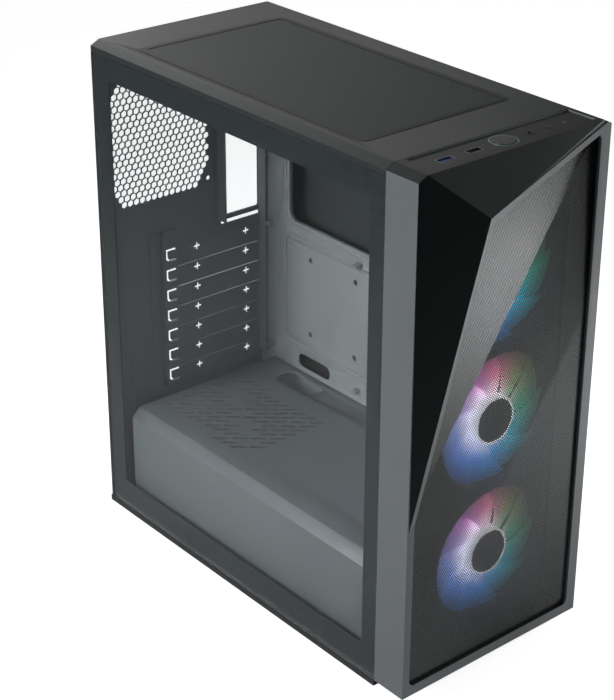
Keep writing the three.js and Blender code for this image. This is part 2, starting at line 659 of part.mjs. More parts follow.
/** One swept blade as a bent plate: stations run out along the radius, steps along the chord. */
function blade() {
  const stations = 3;
  const steps = 3;
  const rootRadius = FAN.hub - 1;
  const tipRadius = FAN.bore - 1.7;
  const points = [];
  for (const side of [-0.7, 0.7]) {
    for (let i = 0; i <= stations; i += 1) {
      const out = i / stations;
      const radius = rootRadius + (tipRadius - rootRadius) * out;
      const chord = THREE.MathUtils.degToRad(36 - 6 * out);
      const sweep = THREE.MathUtils.degToRad(22 * out);
      for (let j = 0; j <= steps; j += 1) {
        const along = j / steps - 0.5;
        const angle = along * chord + sweep;
        const depth = -15 * along + 3 * (0.25 - along * along) + side;
        points.push(radius * Math.cos(angle), depth, radius * Math.sin(angle));
      }
    }
  }
  const row = steps + 1;
  const layer = row * (stations + 1);
  const faces = [];
  const quad = (a, b, c, d) => faces.push(a, b, c, a, c, d);
  for (let i = 0; i < stations; i += 1) {
    for (let j = 0; j < steps; j += 1) {
      const corner = i * row + j;
      quad(corner, corner + row, corner + row + 1, corner + 1);
      quad(layer + corner, layer + corner + 1, layer + corner + row + 1, layer + corner + row);
    }
    const last = i * row + steps;
    quad(i * row, layer + i * row, layer + (i + 1) * row, (i + 1) * row);
    quad(last, last + row, layer + last + row, layer + last);
  }
  for (let j = 0; j < steps; j += 1) {
    const tip = stations * row + j;
    quad(j, j + 1, layer + j + 1, layer + j);
    quad(tip, layer + tip, layer + tip + 1, tip + 1);
  }
  const geometry = new THREE.BufferGeometry();
  geometry.setAttribute('position', new THREE.Float32BufferAttribute(points, 3));
  geometry.setIndex(faces);
  return solidOf(geometry);
}

/** Hub with its blades, about the fan's own axis. */
function fanRotor(z) {
  const middle = FAN_FRONT + 10.5;
  const hub = rod('y', 0, 0, FAN.hub, FAN_FRONT + 0.5, WALL_Y - GAP - 4.8, 24);
  const wings = [];
  for (let n = 0; n < BLADES; n += 1) {
    wings.push(blade().translate([0, middle, 0]).rotate([0, (360 / BLADES) * n, 0]));
  }
  return join(hub, ...wings).translate([FAN.x, 0, z]);
}

// ---- The whole case -----------------------------------------------------------------------

addPart('base_pan', basePan(), blackPaint);
addPart('rear_panel', rearPanel(), greySteel);
for (let n = 0; n < SLOT.count; n += 1) {
  addPart(`slot_cover_${n + 1}`, slotCover(n), greySteel);
}
addPart('slot_bracket', slotBracket(), greySteel);
addPart('motherboard_tray', motherboardTray(), greySteel);
for (const [row, z] of BOARD_ROWS.entries()) {
  for (const [column, y] of BOARD_COLUMNS.entries()) {
    addPart(`standoff_${row * BOARD_COLUMNS.length + column + 1}`, standoff(y, z), plated);
  }
}
addPart('psu_shroud', psuShroud(), greySteel);
addPart('front_wall', frontWall(), greySteel);
addPart('drive_cage', driveCage(), greySteel);
addPart('top_panel', topPanel(), blackPaint);
addPart('top_filter', topFilter(), blackPlastic);
addPart('bottom_filter', bottomFilter(), blackPlastic);

const footFloor = -BASE_DROP - GAP - FOOT.height;
const padFloor = footFloor + PAD.socket - GAP - PAD.height;
for (const [end, y] of [['front', FOOT.front], ['rear', FOOT.rear]]) {
  for (const [side, x] of [['left', FOOT.x], ['right', WIDTH - FOOT.x]]) {
    addPart(`foot_${end}_${side}`, foot(), blackPlastic).position.set(x, y, footFloor);
    addPart(`foot_pad_${end}_${side}`, pad(), rubber).position.set(x, y, padFloor);
  }
}

addPart('front_bezel', frontBezel(), satinGrey);
addPart('front_mesh', frontMesh(), meshMetal);
addPart('io_strip', ioStrip(), glossBlack);
addPart('usb3_socket', usbSocket(SOCKETS.usb3), usbBlue);
addPart('usb2_socket', usbSocket(SOCKETS.usb2), plated);
addPart('audio_jack', audioJack(), blackPlastic);
addPart('power_ring', powerRing(), lightRing);
addPart('power_button', powerButton(), glossBlack);
addPart('reset_button', resetButton(), glossBlack);
addPart('led_lens', ledLens(), lightRing);
addPart('io_board', ioBoard(), boardGreen);

addPart('side_glass', sideGlass(), smokedGlass);
addPart('glass_frame', glassFrame(), blackPaint);
addPart('right_panel', rightPanel(), blackPaint);
for (const place of THUMB_PLACES) {
  addPart(place.name, thumbscrew(place), blackPaint);
}

for (const [name, z] of [['lower', 0], ['middle', 1], ['upper', 2]].map(([n, i]) => [n, fanCentres()[i]])) {
  addPart(`fan_frame_${name}`, fanFrame(z), blackPlastic);
  addPart(`fan_rotor_${name}`, fanRotor(z), fanTint);
}

const reach = DEPTH + GAP + THUMB.head;
tower.position.set(-WIDTH / 2, -(APEX[1] + reach) / 2, -padFloor);

export default tower;
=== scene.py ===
import json
import math

import bmesh
import bpy
import numpy as np
from mathutils import Matrix, Vector

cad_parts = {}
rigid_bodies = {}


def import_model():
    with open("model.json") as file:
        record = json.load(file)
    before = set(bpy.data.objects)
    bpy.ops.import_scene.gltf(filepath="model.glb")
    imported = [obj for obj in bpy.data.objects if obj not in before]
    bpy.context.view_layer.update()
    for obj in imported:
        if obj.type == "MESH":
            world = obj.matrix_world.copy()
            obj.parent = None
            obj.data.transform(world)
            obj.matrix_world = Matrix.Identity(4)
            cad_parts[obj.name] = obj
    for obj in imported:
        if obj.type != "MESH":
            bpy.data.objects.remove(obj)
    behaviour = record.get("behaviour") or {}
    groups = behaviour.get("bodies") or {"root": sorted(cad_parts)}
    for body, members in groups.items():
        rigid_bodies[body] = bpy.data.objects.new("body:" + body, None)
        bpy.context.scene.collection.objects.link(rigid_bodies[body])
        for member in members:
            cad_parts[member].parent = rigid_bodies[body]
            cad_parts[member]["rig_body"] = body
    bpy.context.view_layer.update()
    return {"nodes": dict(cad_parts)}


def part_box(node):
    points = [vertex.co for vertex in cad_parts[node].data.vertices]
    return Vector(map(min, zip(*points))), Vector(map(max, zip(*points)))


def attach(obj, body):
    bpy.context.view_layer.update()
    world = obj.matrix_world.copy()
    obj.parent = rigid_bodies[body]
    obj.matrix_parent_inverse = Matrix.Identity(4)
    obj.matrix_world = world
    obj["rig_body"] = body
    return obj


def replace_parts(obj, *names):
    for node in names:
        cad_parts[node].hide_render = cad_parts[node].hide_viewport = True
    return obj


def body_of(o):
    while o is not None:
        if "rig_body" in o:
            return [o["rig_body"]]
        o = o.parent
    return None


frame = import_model()
scene = bpy.context.scene

# ---- Studio -------------------------------------------------------------------------------
# The tower stands on a seamless white sweep, seen from above its front left corner. Six
# softboxes light it: a cool one beyond the glass, two behind, a low one and a small one over
# the sweep at the right, and a faint one before the front.

scene.view_settings.view_transform = "Standard"

EYE = (-0.9063, -1.0451, 0.92)
YAW, PITCH, ROLL = math.radians(41.04), math.radians(-25.64), math.radians(0.745)
ahead = Vector((math.sin(YAW) * math.cos(PITCH), math.cos(YAW) * math.cos(PITCH), math.sin(PITCH)))
level = Vector((math.cos(YAW), -math.sin(YAW), 0))
right = level * math.cos(ROLL) + level.cross(ahead) * math.sin(ROLL)
above = right.cross(ahead)

camera = bpy.data.objects.new("camera", bpy.data.cameras.new("camera"))
camera.data.lens = 94.0
camera.data.sensor_width = 36.0
camera.data.shift_x, camera.data.shift_y = -0.0501, -0.055
turn = Matrix((right, above, -ahead)).transposed().to_4x4()
camera.matrix_world = Matrix.Translation(EYE) @ turn
scene.collection.objects.link(camera)
scene.camera = camera


def softbox(name, at, toward, size, power, spread, tint=(1, 1, 1)):
    """A square area light of `size` metres at one place, facing another, its beam `spread` degrees wide."""
    light = bpy.data.lights.new(name, "AREA")
    light.size, light.energy, light.color = size, power, tint
    light.spread = math.radians(spread)
    lamp = bpy.data.objects.new(name, light)
    lamp.location = at
    lamp.rotation_euler = (Vector(toward) - Vector(at)).to_track_quat("-Z", "Y").to_euler()
    scene.collection.objects.link(lamp)


softbox("side_softbox", (-1.85, 0.35, 1.05), (-0.1, 0.05, 0.46), 0.8, 4.0, 60, (0.95, 0.98, 1.0))
softbox("back_softbox", (1.4, 2.0, 1.6), (0, 0.1, 0.4), 1.2, 3.3, 180)
softbox("back_left_softbox", (0.6, 2.3, 1.4), (0, 0.1, 0.4), 1.0, 1.6, 60)
softbox("floor_right_softbox", (0.8, -0.15, 1.0), (0.58, -0.25, 0), 0.3, 1.5, 36)
softbox("low_right_softbox", (1.7, -0.9, 0.5), (0, -0.2, 0.25), 0.8, 2.4, 60)
softbox("front_right_softbox", (1.5, -1.85, 1.25), (0, -0.2, 0.42), 1.0, 0.12, 60)


def add(tree, kind, inputs=(), **settings):
    """A shader node with its settings, and its inputs given as values or as the outputs that feed them."""
    made = tree.nodes.new(kind)
    for key, value in settings.items():
        setattr(made, key, value)
    for key, value in dict(inputs).items():
        if isinstance(value, bpy.types.NodeSocket):
            tree.links.new(value, made.inputs[key])
        else:
            made.inputs[key].default_value = value
    return made


def seen_straight(tree):
    """The light path's outputs, and a value of 1 on rays that come from the camera or on through glass."""
    path = add(tree, "ShaderNodeLightPath").outputs
    seen = add(tree, "ShaderNodeMath", {0: path["Is Camera Ray"], 1: path["Is Transmission Ray"]},
               operation="MAXIMUM")
    return path, seen.outputs[0]


SKY_FILL, SKY_SEEN = 0.1, 1.0
world = bpy.data.worlds.new("studio")
world.use_nodes = True
scene.world = world
sky = world.node_tree
sky.nodes.clear()
sky_seen = seen_straight(sky)[1]
glow = add(sky, "ShaderNodeMapRange", {"Value": sky_seen, "To Min": SKY_FILL, "To Max": SKY_SEEN})
white = add(sky, "ShaderNodeBackground", {"Color": (1, 1, 1, 1), "Strength": glow.outputs[0]})
add(sky, "ShaderNodeOutputWorld", {"Surface": white.outputs[0]})


def mesh_piece(name, points, faces, material=None, body=None, smooth=False):
    """A new piece from places in metres and faces by corner number, riding on a body where one is named."""
    mesh = bpy.data.meshes.new(name)
    mesh.from_pydata(np.asarray(points, float).reshape(-1, 3).tolist(), [], faces)
    mesh.update()
    if smooth:
        mesh.shade_smooth()
        mesh.set_sharp_from_angle(angle=math.radians(35))
    piece = bpy.data.objects.new(name, mesh)
    scene.collection.objects.link(piece)
    if material:
        mesh.materials.append(material)
    if body:
        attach(piece, body)
    return piece


# The sweep glows a little where it is looked at, but not on rays that have turned more than
# twice, so that the glass mirrors it only once.
REACH = 9.0
SWEEP_GLOW, MOST_TURNS = 0.85, 2.5
sweep_white = bpy.data.materials.new("sweep_white")
sweep_white.use_nodes = True
sweep_tree = sweep_white.node_tree
sweep_shader = sweep_tree.nodes["Principled BSDF"]
sweep_shader.inputs["Base Color"].default_value = (0.8, 0.8, 0.8, 1)
sweep_shader.inputs["Roughness"].default_value = 0.9
sweep_shader.inputs["Emission Color"].default_value = (1, 1, 1, 1)
sweep_path, sweep_seen = seen_straight(sweep_tree)
few_turns = add(sweep_tree, "ShaderNodeMath", {0: sweep_path["Ray Depth"], 1: MOST_TURNS},
                operation="LESS_THAN")
in_view = add(sweep_tree, "ShaderNodeMath", {0: sweep_seen, 1: few_turns.outputs[0]}, operation="MULTIPLY")
lifted = add(sweep_tree, "ShaderNodeMapRange",
             {"Value": in_view.outputs[0], "To Min": 0.0, "To Max": SWEEP_GLOW})
sweep_tree.links.new(lifted.outputs[0], sweep_shader.inputs["Emission Strength"])
sweep = mesh_piece("sweep", [(-REACH, -REACH, 0), (REACH, -REACH, 0), (REACH, REACH, 0), (-REACH, REACH, 0)],
                   [(0, 1, 2, 3)], sweep_white)


# ---- Floor pan ----------------------------------------------------------------------------
# The floor is a shallow folded pan of steel, powder-coated a fine-grained black. The chassis
# stands on it and is riveted to its turned-up edges.


def new_group(name, takes, gives):
    """An empty shader node group with named inputs and outputs."""
    group = bpy.data.node_groups.new(name, "ShaderNodeTree")
    for label, kind, value in takes:
        group.interface.new_socket(label, in_out="INPUT", socket_type=kind).default_value = value
    for label, kind in gives:
        group.interface.new_socket(label, in_out="OUTPUT", socket_type=kind)
    return group, group.nodes.new("NodeGroupInput").outputs, group.nodes.new("NodeGroupOutput")


COLOUR, NUMBER = "NodeSocketColor", "NodeSocketFloat"
GRAIN_HEIGHT = 0.0002

grain, taken, given = new_group(
    "moulded_grain",
    [("Colour", COLOUR, (0.5, 0.5, 0.5, 1)), ("Clouding", NUMBER, 0.1), ("Roughness", NUMBER, 0.5),
     ("Spread", NUMBER, 0.1), ("Grain", NUMBER, 900.0), ("Clouds", NUMBER, 14.0)],
    [("Colour", COLOUR), ("Roughness", NUMBER), ("Height", NUMBER)])
where = add(grain, "ShaderNodeTexCoord").outputs["Object"]
fine = add(grain, "ShaderNodeTexNoise", {"Vector": where, "Scale": taken["Grain"], "Detail": 2.0})
broad = add(grain, "ShaderNodeTexNoise", {"Vector": where, "Scale": taken["Clouds"], "Detail": 4.0})
cloud = add(grain, "ShaderNodeMath", {0: broad.outputs[0], 1: -0.5}, operation="ADD")
shade = add(grain, "ShaderNodeMath", {0: cloud.outputs[0], 1: taken["Clouding"], 2: 1.0},
            operation="MULTIPLY_ADD")
tinted = add(grain, "ShaderNodeVectorMath", {0: taken["Colour"], "Scale": shade.outputs[0]},
             operation="SCALE")
speck = add(grain, "ShaderNodeMath", {0: fine.outputs[0], 1: -0.5}, operation="ADD")
mixed = add(grain, "ShaderNodeMath", {0: speck.outputs[0], 1: cloud.outputs[0]}, operation="ADD")
rough = add(grain, "ShaderNodeMath", {0: mixed.outputs[0], 1: taken["Spread"], 2: taken["Roughness"]},
            operation="MULTIPLY_ADD")
grain.links.new(tinted.outputs[0], given.inputs["Colour"])
grain.links.new(rough.outputs[0], given.inputs["Roughness"])
grain.links.new(fine.outputs[0], given.inputs["Height"])


def finish(name, colour, roughness, metallic=0.0, specular=0.5, clouding=0.2, spread=0.12,
           grain_scale=900.0, bump=0.1, glow=0.0):
    """A material whose colour, roughness and fine bump all vary through the shared grain."""
    material = bpy.data.materials.new(name)
    material.use_nodes = True
    tree = material.node_tree
    shader = tree.nodes["Principled BSDF"]
    skin = add(tree, "ShaderNodeGroup", node_tree=grain)
    for key, value in {"Colour": (*colour, 1), "Roughness": roughness, "Clouding": clouding,
                       "Spread": spread, "Grain": grain_scale}.items():
        skin.inputs[key].default_value = value
    tree.links.new(skin.outputs["Colour"], shader.inputs["Base Color"])
    tree.links.new(skin.outputs["Roughness"], shader.inputs["Roughness"])
    raised = add(tree, "ShaderNodeBump",
                 {"Height": skin.outputs["Height"], "Strength": bump, "Distance": GRAIN_HEIGHT})
    tree.links.new(raised.outputs[0], shader.inputs["Normal"])
    shader.inputs["Metallic"].default_value = metallic
    shader.inputs["Specular IOR Level"].default_value = specular
    if glow:
        tree.links.new(skin.outputs["Colour"], shader.inputs["Emission Color"])
        shader.inputs["Emission Strength"].default_value = glow
    return material


def cast(node, name, material, edge=0.4, segments=2, angle=30.0):
    """The CAD node's solid, its doubles merged, flat faces joined and sharp edges rounded by `edge` mm."""
    source = frame["nodes"][node]
    shape = bmesh.new()
    shape.from_mesh(source.data)
    bmesh.ops.remove_doubles(shape, verts=shape.verts, dist=2e-6)
    bmesh.ops.dissolve_limit(shape, angle_limit=math.radians(0.5), verts=shape.verts, edges=shape.edges)
    mesh = bpy.data.meshes.new(name)
    shape.to_mesh(mesh)
    shape.free()
    mesh.materials.append(material)
    mesh.shade_smooth()
    mesh.set_sharp_from_angle(angle=math.radians(angle))
    piece = bpy.data.objects.new(name, mesh)
    scene.collection.objects.link(piece)
    if edge:
        bevel = piece.modifiers.new("rounded_edges", "BEVEL")
        bevel.width, bevel.segments = edge / 1000, segments
        bevel.limit_method, bevel.angle_limit = "ANGLE", math.radians(angle)
        bevel.harden_normals = True
        bevel.use_clamp_overlap = True
    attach(piece, body_of(source)[0])
    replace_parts(piece, node)
    return piece


black_coat = finish("black_powder_coat", (0.028, 0.031, 0.032), 0.42, clouding=0.15, bump=0.18,
                    grain_scale=1400)
cast("base_pan", "floor_pan", black_coat, 0.5)


# ---- Feet ---------------------------------------------------------------------------------
# Four feet of black moulded plastic are clipped under the corners of the floor pan. A soft
# rubber pad is let into the underside of each.

foot_plastic = finish("foot_plastic", (0.02, 0.021, 0.022), 0.5, bump=0.3, grain_scale=1800)
pad_rubber = finish("pad_rubber", (0.012, 0.012, 0.012), 0.85, clouding=0.5, bump=0.4, grain_scale=700)
for end in ("front", "rear"):
    for side in ("left", "right"):
        cast(f"foot_{end}_{side}", f"foot_moulding_{end}_{side}", foot_plastic, 0.8, 3, 40)
        cast(f"foot_pad_{end}_{side}", f"rubber_pad_{end}_{side}", pad_rubber, 0.4, 2, 40)


# ---- Bottom filter ------------------------------------------------------------------------
# A frame of black moulded plastic slides under the floor pan. A cross of ribs parts it into
# four windows, and a fine six-sided net is moulded in behind them.

FRONT_BEHIND, EDGE_BELOW = 0.0337, 0.00015
corner = np.array(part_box("side_glass")[0]) - (0, FRONT_BEHIND, EDGE_BELOW)


def place(points):
    """Millimetres from the glass, the front plane and the panel's lower edge, as metres in the frame."""
    return np.asarray(points, float) / 1000 + corner


def prisms(outlines, axis, low, high):
    """Closed prisms: each outline of k corners in an (n, k, 2) array stands on two planes across an axis."""
    outlines = np.asarray(outlines, float)
    count, k, _ = outlines.shape
    points = np.empty((count, 2, k, 3))
    points[:, 0, :, axis], points[:, 1, :, axis] = low, high
    flat = [i for i in range(3) if i != axis]
    points[..., flat[0]], points[..., flat[1]] = outlines[:, None, :, 0], outlines[:, None, :, 1]
    i = np.arange(k)
    ring = np.stack([i, (i + 1) % k, (i + 1) % k + k, i + k], 1)
    start = np.arange(count)[:, None, None] * 2 * k
    sides = (ring[None] + start).reshape(-1, 4).tolist()
    caps = (np.stack([i[::-1], i + k])[None] + start).reshape(-1, k).tolist()
    return points.reshape(-1, 3), sides + caps


def outward(mesh, merge=0.0):
    """Turns every face of a closed mesh outwards, once places closer than `merge` metres are made one."""
    shape = bmesh.new()
    shape.from_mesh(mesh)
    if merge:
        bmesh.ops.remove_doubles(shape, verts=shape.verts, dist=merge)
    bmesh.ops.recalc_face_normals(shape, faces=shape.faces)
    shape.to_mesh(mesh)
    shape.free()


def settle(piece):
    """Applies a piece's modifiers to its mesh."""
    graph = bpy.context.evaluated_depsgraph_get()
    made = bpy.data.meshes.new_from_object(piece.evaluated_get(graph))
    piece.modifiers.clear()
    piece.data = made


def punch(piece, cutters, axis, low, high):
    """Cuts prisms out of a piece, one group of outlines after another, each reaching from low to high mm."""
    for outlines in cutters:
        points, faces = prisms(outlines, axis, low, high)
        tool = mesh_piece("tool", place(points), faces)
        outward(tool.data)
        cut = piece.modifiers.new("cut", "BOOLEAN")
        cut.object, cut.solver = tool, "EXACT"
        bpy.context.view_layer.update()
        settle(piece)
        bpy.data.objects.remove(tool)
    piece.data.set_sharp_from_angle(angle=math.radians(30))


def rectangles(spans):
    """Corner outlines of (low a, high a, low b, high b) spans."""
    a0, a1, b0, b1 = np.asarray(spans, float).T
    return np.stack([np.stack(p, 1) for p in ((a0, b0), (a1, b0), (a1, b1), (a0, b1))], 1)


def polygons(centres, radius, sides=6):
    """Regular polygons: corner k is a radius from the centre, k / sides of a turn from straight up."""
    turn_by = np.arange(sides) * math.tau / sides + math.pi / 2
    return np.asarray(centres, float)[:, None] + radius * np.stack([np.cos(turn_by), np.sin(turn_by)], 1)


def lattice(a0, a1, b0, b1, pitch):
    """Centres in staggered rows about the middle: pitch apart along a, pitch times sqrt 3 / 2 along b."""
    row = pitch * math.sqrt(3) / 2
    rows = np.arange(-int((b1 - b0) / 2 / row) - 1, int((b1 - b0) / 2 / row) + 2)
    steps = np.arange(-int((a1 - a0) / 2 / pitch) - 1, int((a1 - a0) / 2 / pitch) + 2)
    b, a = np.meshgrid(rows, steps, indexing="ij")
    a, b = (a + 0.5 * (b % 2)) * pitch + (a0 + a1) / 2, b * row + (b0 + b1) / 2
    inside = (a >= a0) & (a <= a1) & (b >= b0) & (b <= b1)
    return np.stack([a[inside], b[inside]], 1)


def at_height(height):
    """A lift for a flat sheet: every (a, b) keeps its place and gets one height in mm."""
    return lambda a, b: np.stack([a, b, np.full_like(a, height)], 1)


# Painted shade: the hole walls get a near-black coat of their own instead of the sheet's, so the holes stay
# dark.
hole_wall_shade = finish("hole_wall_shade", (0.012, 0.013, 0.013), 0.6, specular=0.2, bump=0.0)
OFF_TIE = 0.000317


def perforated(name, centres, pitch, hole, lift, deep, material, body):
    """A sheet of hexagonal cells, each a ring of six quads between the cell's own edge, at pitch / sqrt 3
    from its centre, and a six-sided hole whose six walls run `deep` (x, y, z) mm back. Corners that cells
    share are one, found by rounding to 0.01 mm just off a tie. lift(a, b) gives each place in mm."""
    spread = polygons([(0, 0)], 1.0)[0]
    outer = centres[:, None] + spread * pitch / math.sqrt(3)
    inner = centres[:, None] + spread * hole
    keys = np.round(outer.reshape(-1, 2) + OFF_TIE, 2)
    shared, number = np.unique(keys, axis=0, return_inverse=True)
    first = np.zeros((len(shared), 2))
    first[number.ravel()] = outer.reshape(-1, 2)
    rim = number.reshape(-1, 6)
    web = len(shared) + np.arange(len(centres) * 6).reshape(-1, 6)
    quads = np.stack([rim, np.roll(rim, -1, 1), np.roll(web, -1, 1), web], 2).reshape(-1, 4)
    back = web + len(centres) * 6
    walls = np.stack([web, np.roll(web, -1, 1), np.roll(back, -1, 1), back], 2).reshape(-1, 4)
    flat = np.concatenate([first, inner.reshape(-1, 2)])
    points = lift(flat[:, 0], flat[:, 1])
    points = np.concatenate([points, points[len(first):] + np.asarray(deep, float)])
    faces = np.concatenate([quads, walls]).tolist()
    piece = mesh_piece(name, place(points), faces, material, body)
    # The hole walls take the painted shade coat.
    piece.data.materials.append(hole_wall_shade)
    piece.data.polygons.foreach_set("material_index", np.repeat([0, 1], [len(quads), len(walls)]))
    return piece


WINDOWS_ACROSS, WINDOWS_ALONG = ((62, 97.5), (100.5, 136)), ((274, 328), (332, 386))
NET, NET_PITCH, NET_HOLE, NET_LEVEL = (61, 137, 273, 387), 3.0, 1.35, -7.6
filter_plastic = finish("filter_plastic", (0.014, 0.016, 0.017), 0.55, bump=0.2, grain_scale=1500)
bottom_filter = cast("bottom_filter", "bottom_filter_frame", filter_plastic, 0.4)
windows = [(*across, *along) for along in WINDOWS_ALONG for across in WINDOWS_ACROSS]
punch(bottom_filter, [rectangles(windows)], 2, -15, 0)
perforated("bottom_filter_cloth", lattice(*NET, NET_PITCH), NET_PITCH, NET_HOLE, at_height(NET_LEVEL),
           (0, 0, -0.4), filter_plastic, "bottom_filter")


# ---- Intake grille ------------------------------------------------------------------------
# The power supply draws its air through a field of hexagons above the bottom filter, punched
# in the floor pan's black-coated steel.

INTAKE, INTAKE_PITCH, INTAKE_HOLE, INTAKE_LEVEL = (59, 139, 271, 389), 5.4, 2.45, -5.0
perforated("intake_grille", lattice(*INTAKE, INTAKE_PITCH), INTAKE_PITCH, INTAKE_HOLE,
           at_height(INTAKE_LEVEL), (0, 0, -0.8), black_coat, "chassis")


# ---- Rear sheet ---------------------------------------------------------------------------
# The rear is one grey-coated steel sheet, riveted to the floor pan. Punched in it are an
# eight-sided fan vent of hexagons, the socket window, and a notch at each blanking strip.

VENT, VENT_PITCH, VENT_HOLE = (66.3, 343.55), 6.45, 3.2
VENT_ROWS, VENT_HALF, VENT_TOP_HALF, VENT_SLOPE = 10, 51.7, 38.7, 3.25
WINDOW_SLOT = (133, 177, 241.4, 245.2)
STRIP, STRIPS, FIRST_STRIP = 20.32, 7, 227.5
NOTCH_BELOW, NOTCH_ABOVE = 6.5, 6.0
REAR_CUT = (395, 410)
grey_coat = finish("grey_steel_coat", (0.14, 0.145, 0.145), 0.4, bump=0.12, grain_scale=1200)
vent_holes = []
for row in range(-VENT_ROWS, VENT_ROWS + 1):
    half = min(VENT_HALF, VENT_TOP_HALF + VENT_SLOPE * (VENT_ROWS - abs(row)))
    steps = np.arange(-9, 10) + (0.5 if row % 2 else 0.0)
    steps = steps[np.abs(steps * VENT_PITCH) < half + 0.1]
    vent_holes += [(VENT[0] + s * VENT_PITCH, VENT[1] + row * VENT_PITCH * math.sqrt(3) / 2) for s in steps]
strip_levels = FIRST_STRIP - STRIP * np.arange(STRIPS)
rear_notches = [(69, 76.5, z - NOTCH_BELOW, z + NOTCH_ABOVE) for z in strip_levels]
rear = cast("rear_panel", "rear_sheet", grey_coat, 0.25, 1)
punch(rear, [polygons(vent_holes, VENT_HOLE), rectangles([WINDOW_SLOT] + rear_notches)], 1, *REAR_CUT)


# ---- Blanking strips ----------------------------------------------------------------------
# Seven pressed strips of the same grey-coated steel close the card openings. Each has two
# punched crosses and a notched end, which the clamp holds.

CROSSES, CROSS_ARM, CROSS_BAR = (105, 161.7), 3.7, 0.85
for n, z in enumerate(strip_levels):
    strip = cast(f"slot_cover_{n + 1}", f"blanking_strip_{n + 1}", grey_coat, 0.2, 1)
    notch = rectangles([(75, 81, z - NOTCH_BELOW, z + NOTCH_ABOVE)])
    lying = rectangles([(x - CROSS_ARM, x + CROSS_ARM, z - CROSS_BAR, z + CROSS_BAR) for x in CROSSES])
    standing = rectangles([(x - CROSS_BAR, x + CROSS_BAR, z - CROSS_ARM, z + CROSS_ARM) for x in CROSSES])
    punch(strip, [notch, lying, standing], 1, *REAR_CUT)


# ---- Strip clamp --------------------------------------------------------------------------
# A folded channel of grey-coated steel is screwed over the ends of the blanking strips. Its
# face has a hooked slit with a bent tail and a small round eye beside each strip.

CLAMP_BOTTOM, CLAMP_TOP = 97.2, 252.4


def bars(name, spans, material, body, edge=0.3):
    """Straight bars given as (x0, x1, y0, y1, z0, z1) in millimetres, with rounded edges."""
    spans = np.asarray(spans, float)
    pick = np.array([(x, y, z) for z in (4, 5) for x, y in ((0, 2), (1, 2), (1, 3), (0, 3))])
    points = spans[:, pick]
    ring = [(0, 1, 5, 4), (1, 2, 6, 5), (2, 3, 7, 6), (3, 0, 4, 7), (3, 2, 1, 0), (4, 5, 6, 7)]
    faces = (np.array(ring)[None] + 8 * np.arange(len(spans))[:, None, None]).reshape(-1, 4).tolist()
    piece = mesh_piece(name, place(points.reshape(-1, 3)), faces, material, body, smooth=True)
    if edge:
        bevel = piece.modifiers.new("rounded_edges", "BEVEL")
        bevel.width, bevel.segments, bevel.harden_normals = edge / 1000, 2, True
    return piece


def slots(centres, length, width, lean=0.0):
    """Slots with round ends: two half circles of six corners, `length` apart over all, turned by `lean`."""
    swing = np.linspace(-math.pi / 2, math.pi / 2, 6)
    half = (length - width) / 2
    end = np.stack([half + np.cos(swing) * width / 2, np.sin(swing) * width / 2], 1)
    outline = np.concatenate([end, -end])
    c, s = math.cos(lean), math.sin(lean)
    return np.asarray(centres, float)[:, None] + outline @ np.array([[c, s], [-s, c]])


clamp = bars("strip_clamp", [(63.6, 81.6, 399.8, 400.9, CLAMP_BOTTOM, CLAMP_TOP)], grey_coat, "chassis",
             0)
hook_tops = rectangles([(69.0, 80.6, z + 3.9, z + 6.0) for z in strip_levels])
hook_backs = rectangles([(69.0, 71.2, z - 4.0, z + 4.1) for z in strip_levels])
hook_ends = rectangles([(72.4, 80.6, z - 6.7, z - 4.8) for z in strip_levels])
bends = slots([(71.5, z - 4.9) for z in strip_levels], 4.6, 2.0, -0.85)
eyes = polygons([(66.8, z + 9.4) for z in strip_levels], 1.0, 10)
punch(clamp, [hook_tops, hook_backs, hook_ends, bends, eyes], 1, 395, 405)
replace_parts(clamp, "slot_bracket")
bars("clamp_wall", [(63.6, 64.8, 396.2, 400, CLAMP_BOTTOM, CLAMP_TOP)], grey_coat, "chassis",
     0.25)


# ---- Rear ribs and folds ------------------------------------------------------------------
# The rear sheet is stiffened by two raised ribs, by the turned-out edges of the socket window
# and by a fold where it meets the tray, all bent in its own grey-coated steel.

bars("rear_rib", [(52.5, 59.5, 400.2, 401.5, 107, 254), (123.4, 124.6, 400, 401.5, 250, 410)],
     grey_coat, "chassis", 0.6)
bars("socket_window_fold", [(129.4, 130.6, 389, 401.5, 247, 412), (129.6, 177, 400.3, 401.5, 245.4, 250)],
     grey_coat, "chassis", 0.3)
bars("rear_corner_fold", [(176.6, 179.6, 391, 401.5, 100, 430)], grey_coat, "chassis", 0.5)


# ---- Motherboard tray ---------------------------------------------------------------------
# The tray is a grey-coated steel plate with a large cooler window in a raised rim, cable slots
# and four drive holes. It is riveted between front and rear, and two pressed beads stiffen it.

DRIVE_HOLES, DRIVE_HOLE = [(y, z) for z in (217.5, 142) for y in (326.5, 264)], 2.6
# Painted reflection: the tray and its beads get a lighter copy of the grey coat, standing in for the bright
# sweep mirrored in them.
tray_reflection_coat = finish("tray_reflection_coat", (0.2, 0.207, 0.21), 0.4, clouding=0.15, bump=0.12, grain_scale=1200)
tray = cast("motherboard_tray", "board_tray", tray_reflection_coat, 0.9, 3)
punch(tray, [polygons(DRIVE_HOLES, DRIVE_HOLE, 16)], 0, 174, 186)


def loop_of(a0, a1, b0, b1, radius, steps=6):
    """A rounded rectangle's points and outward directions, each corner a quarter circle of `steps` chords."""
    swing = np.linspace(0, math.pi / 2, steps + 1)
    points, ways = [], []
    for quarter, (a, b) in enumerate(((a1 - radius, b1 - radius), (a0 + radius, b1 - radius),
                                      (a0 + radius, b0 + radius), (a1 - radius, b0 + radius))):
        way = np.stack([np.cos(swing + quarter * math.pi / 2), np.sin(swing + quarter * math.pi / 2)], 1)
        points.append(np.array([a, b]) + radius * way)
        ways.append(way)
    return np.concatenate(points), np.concatenate(ways)


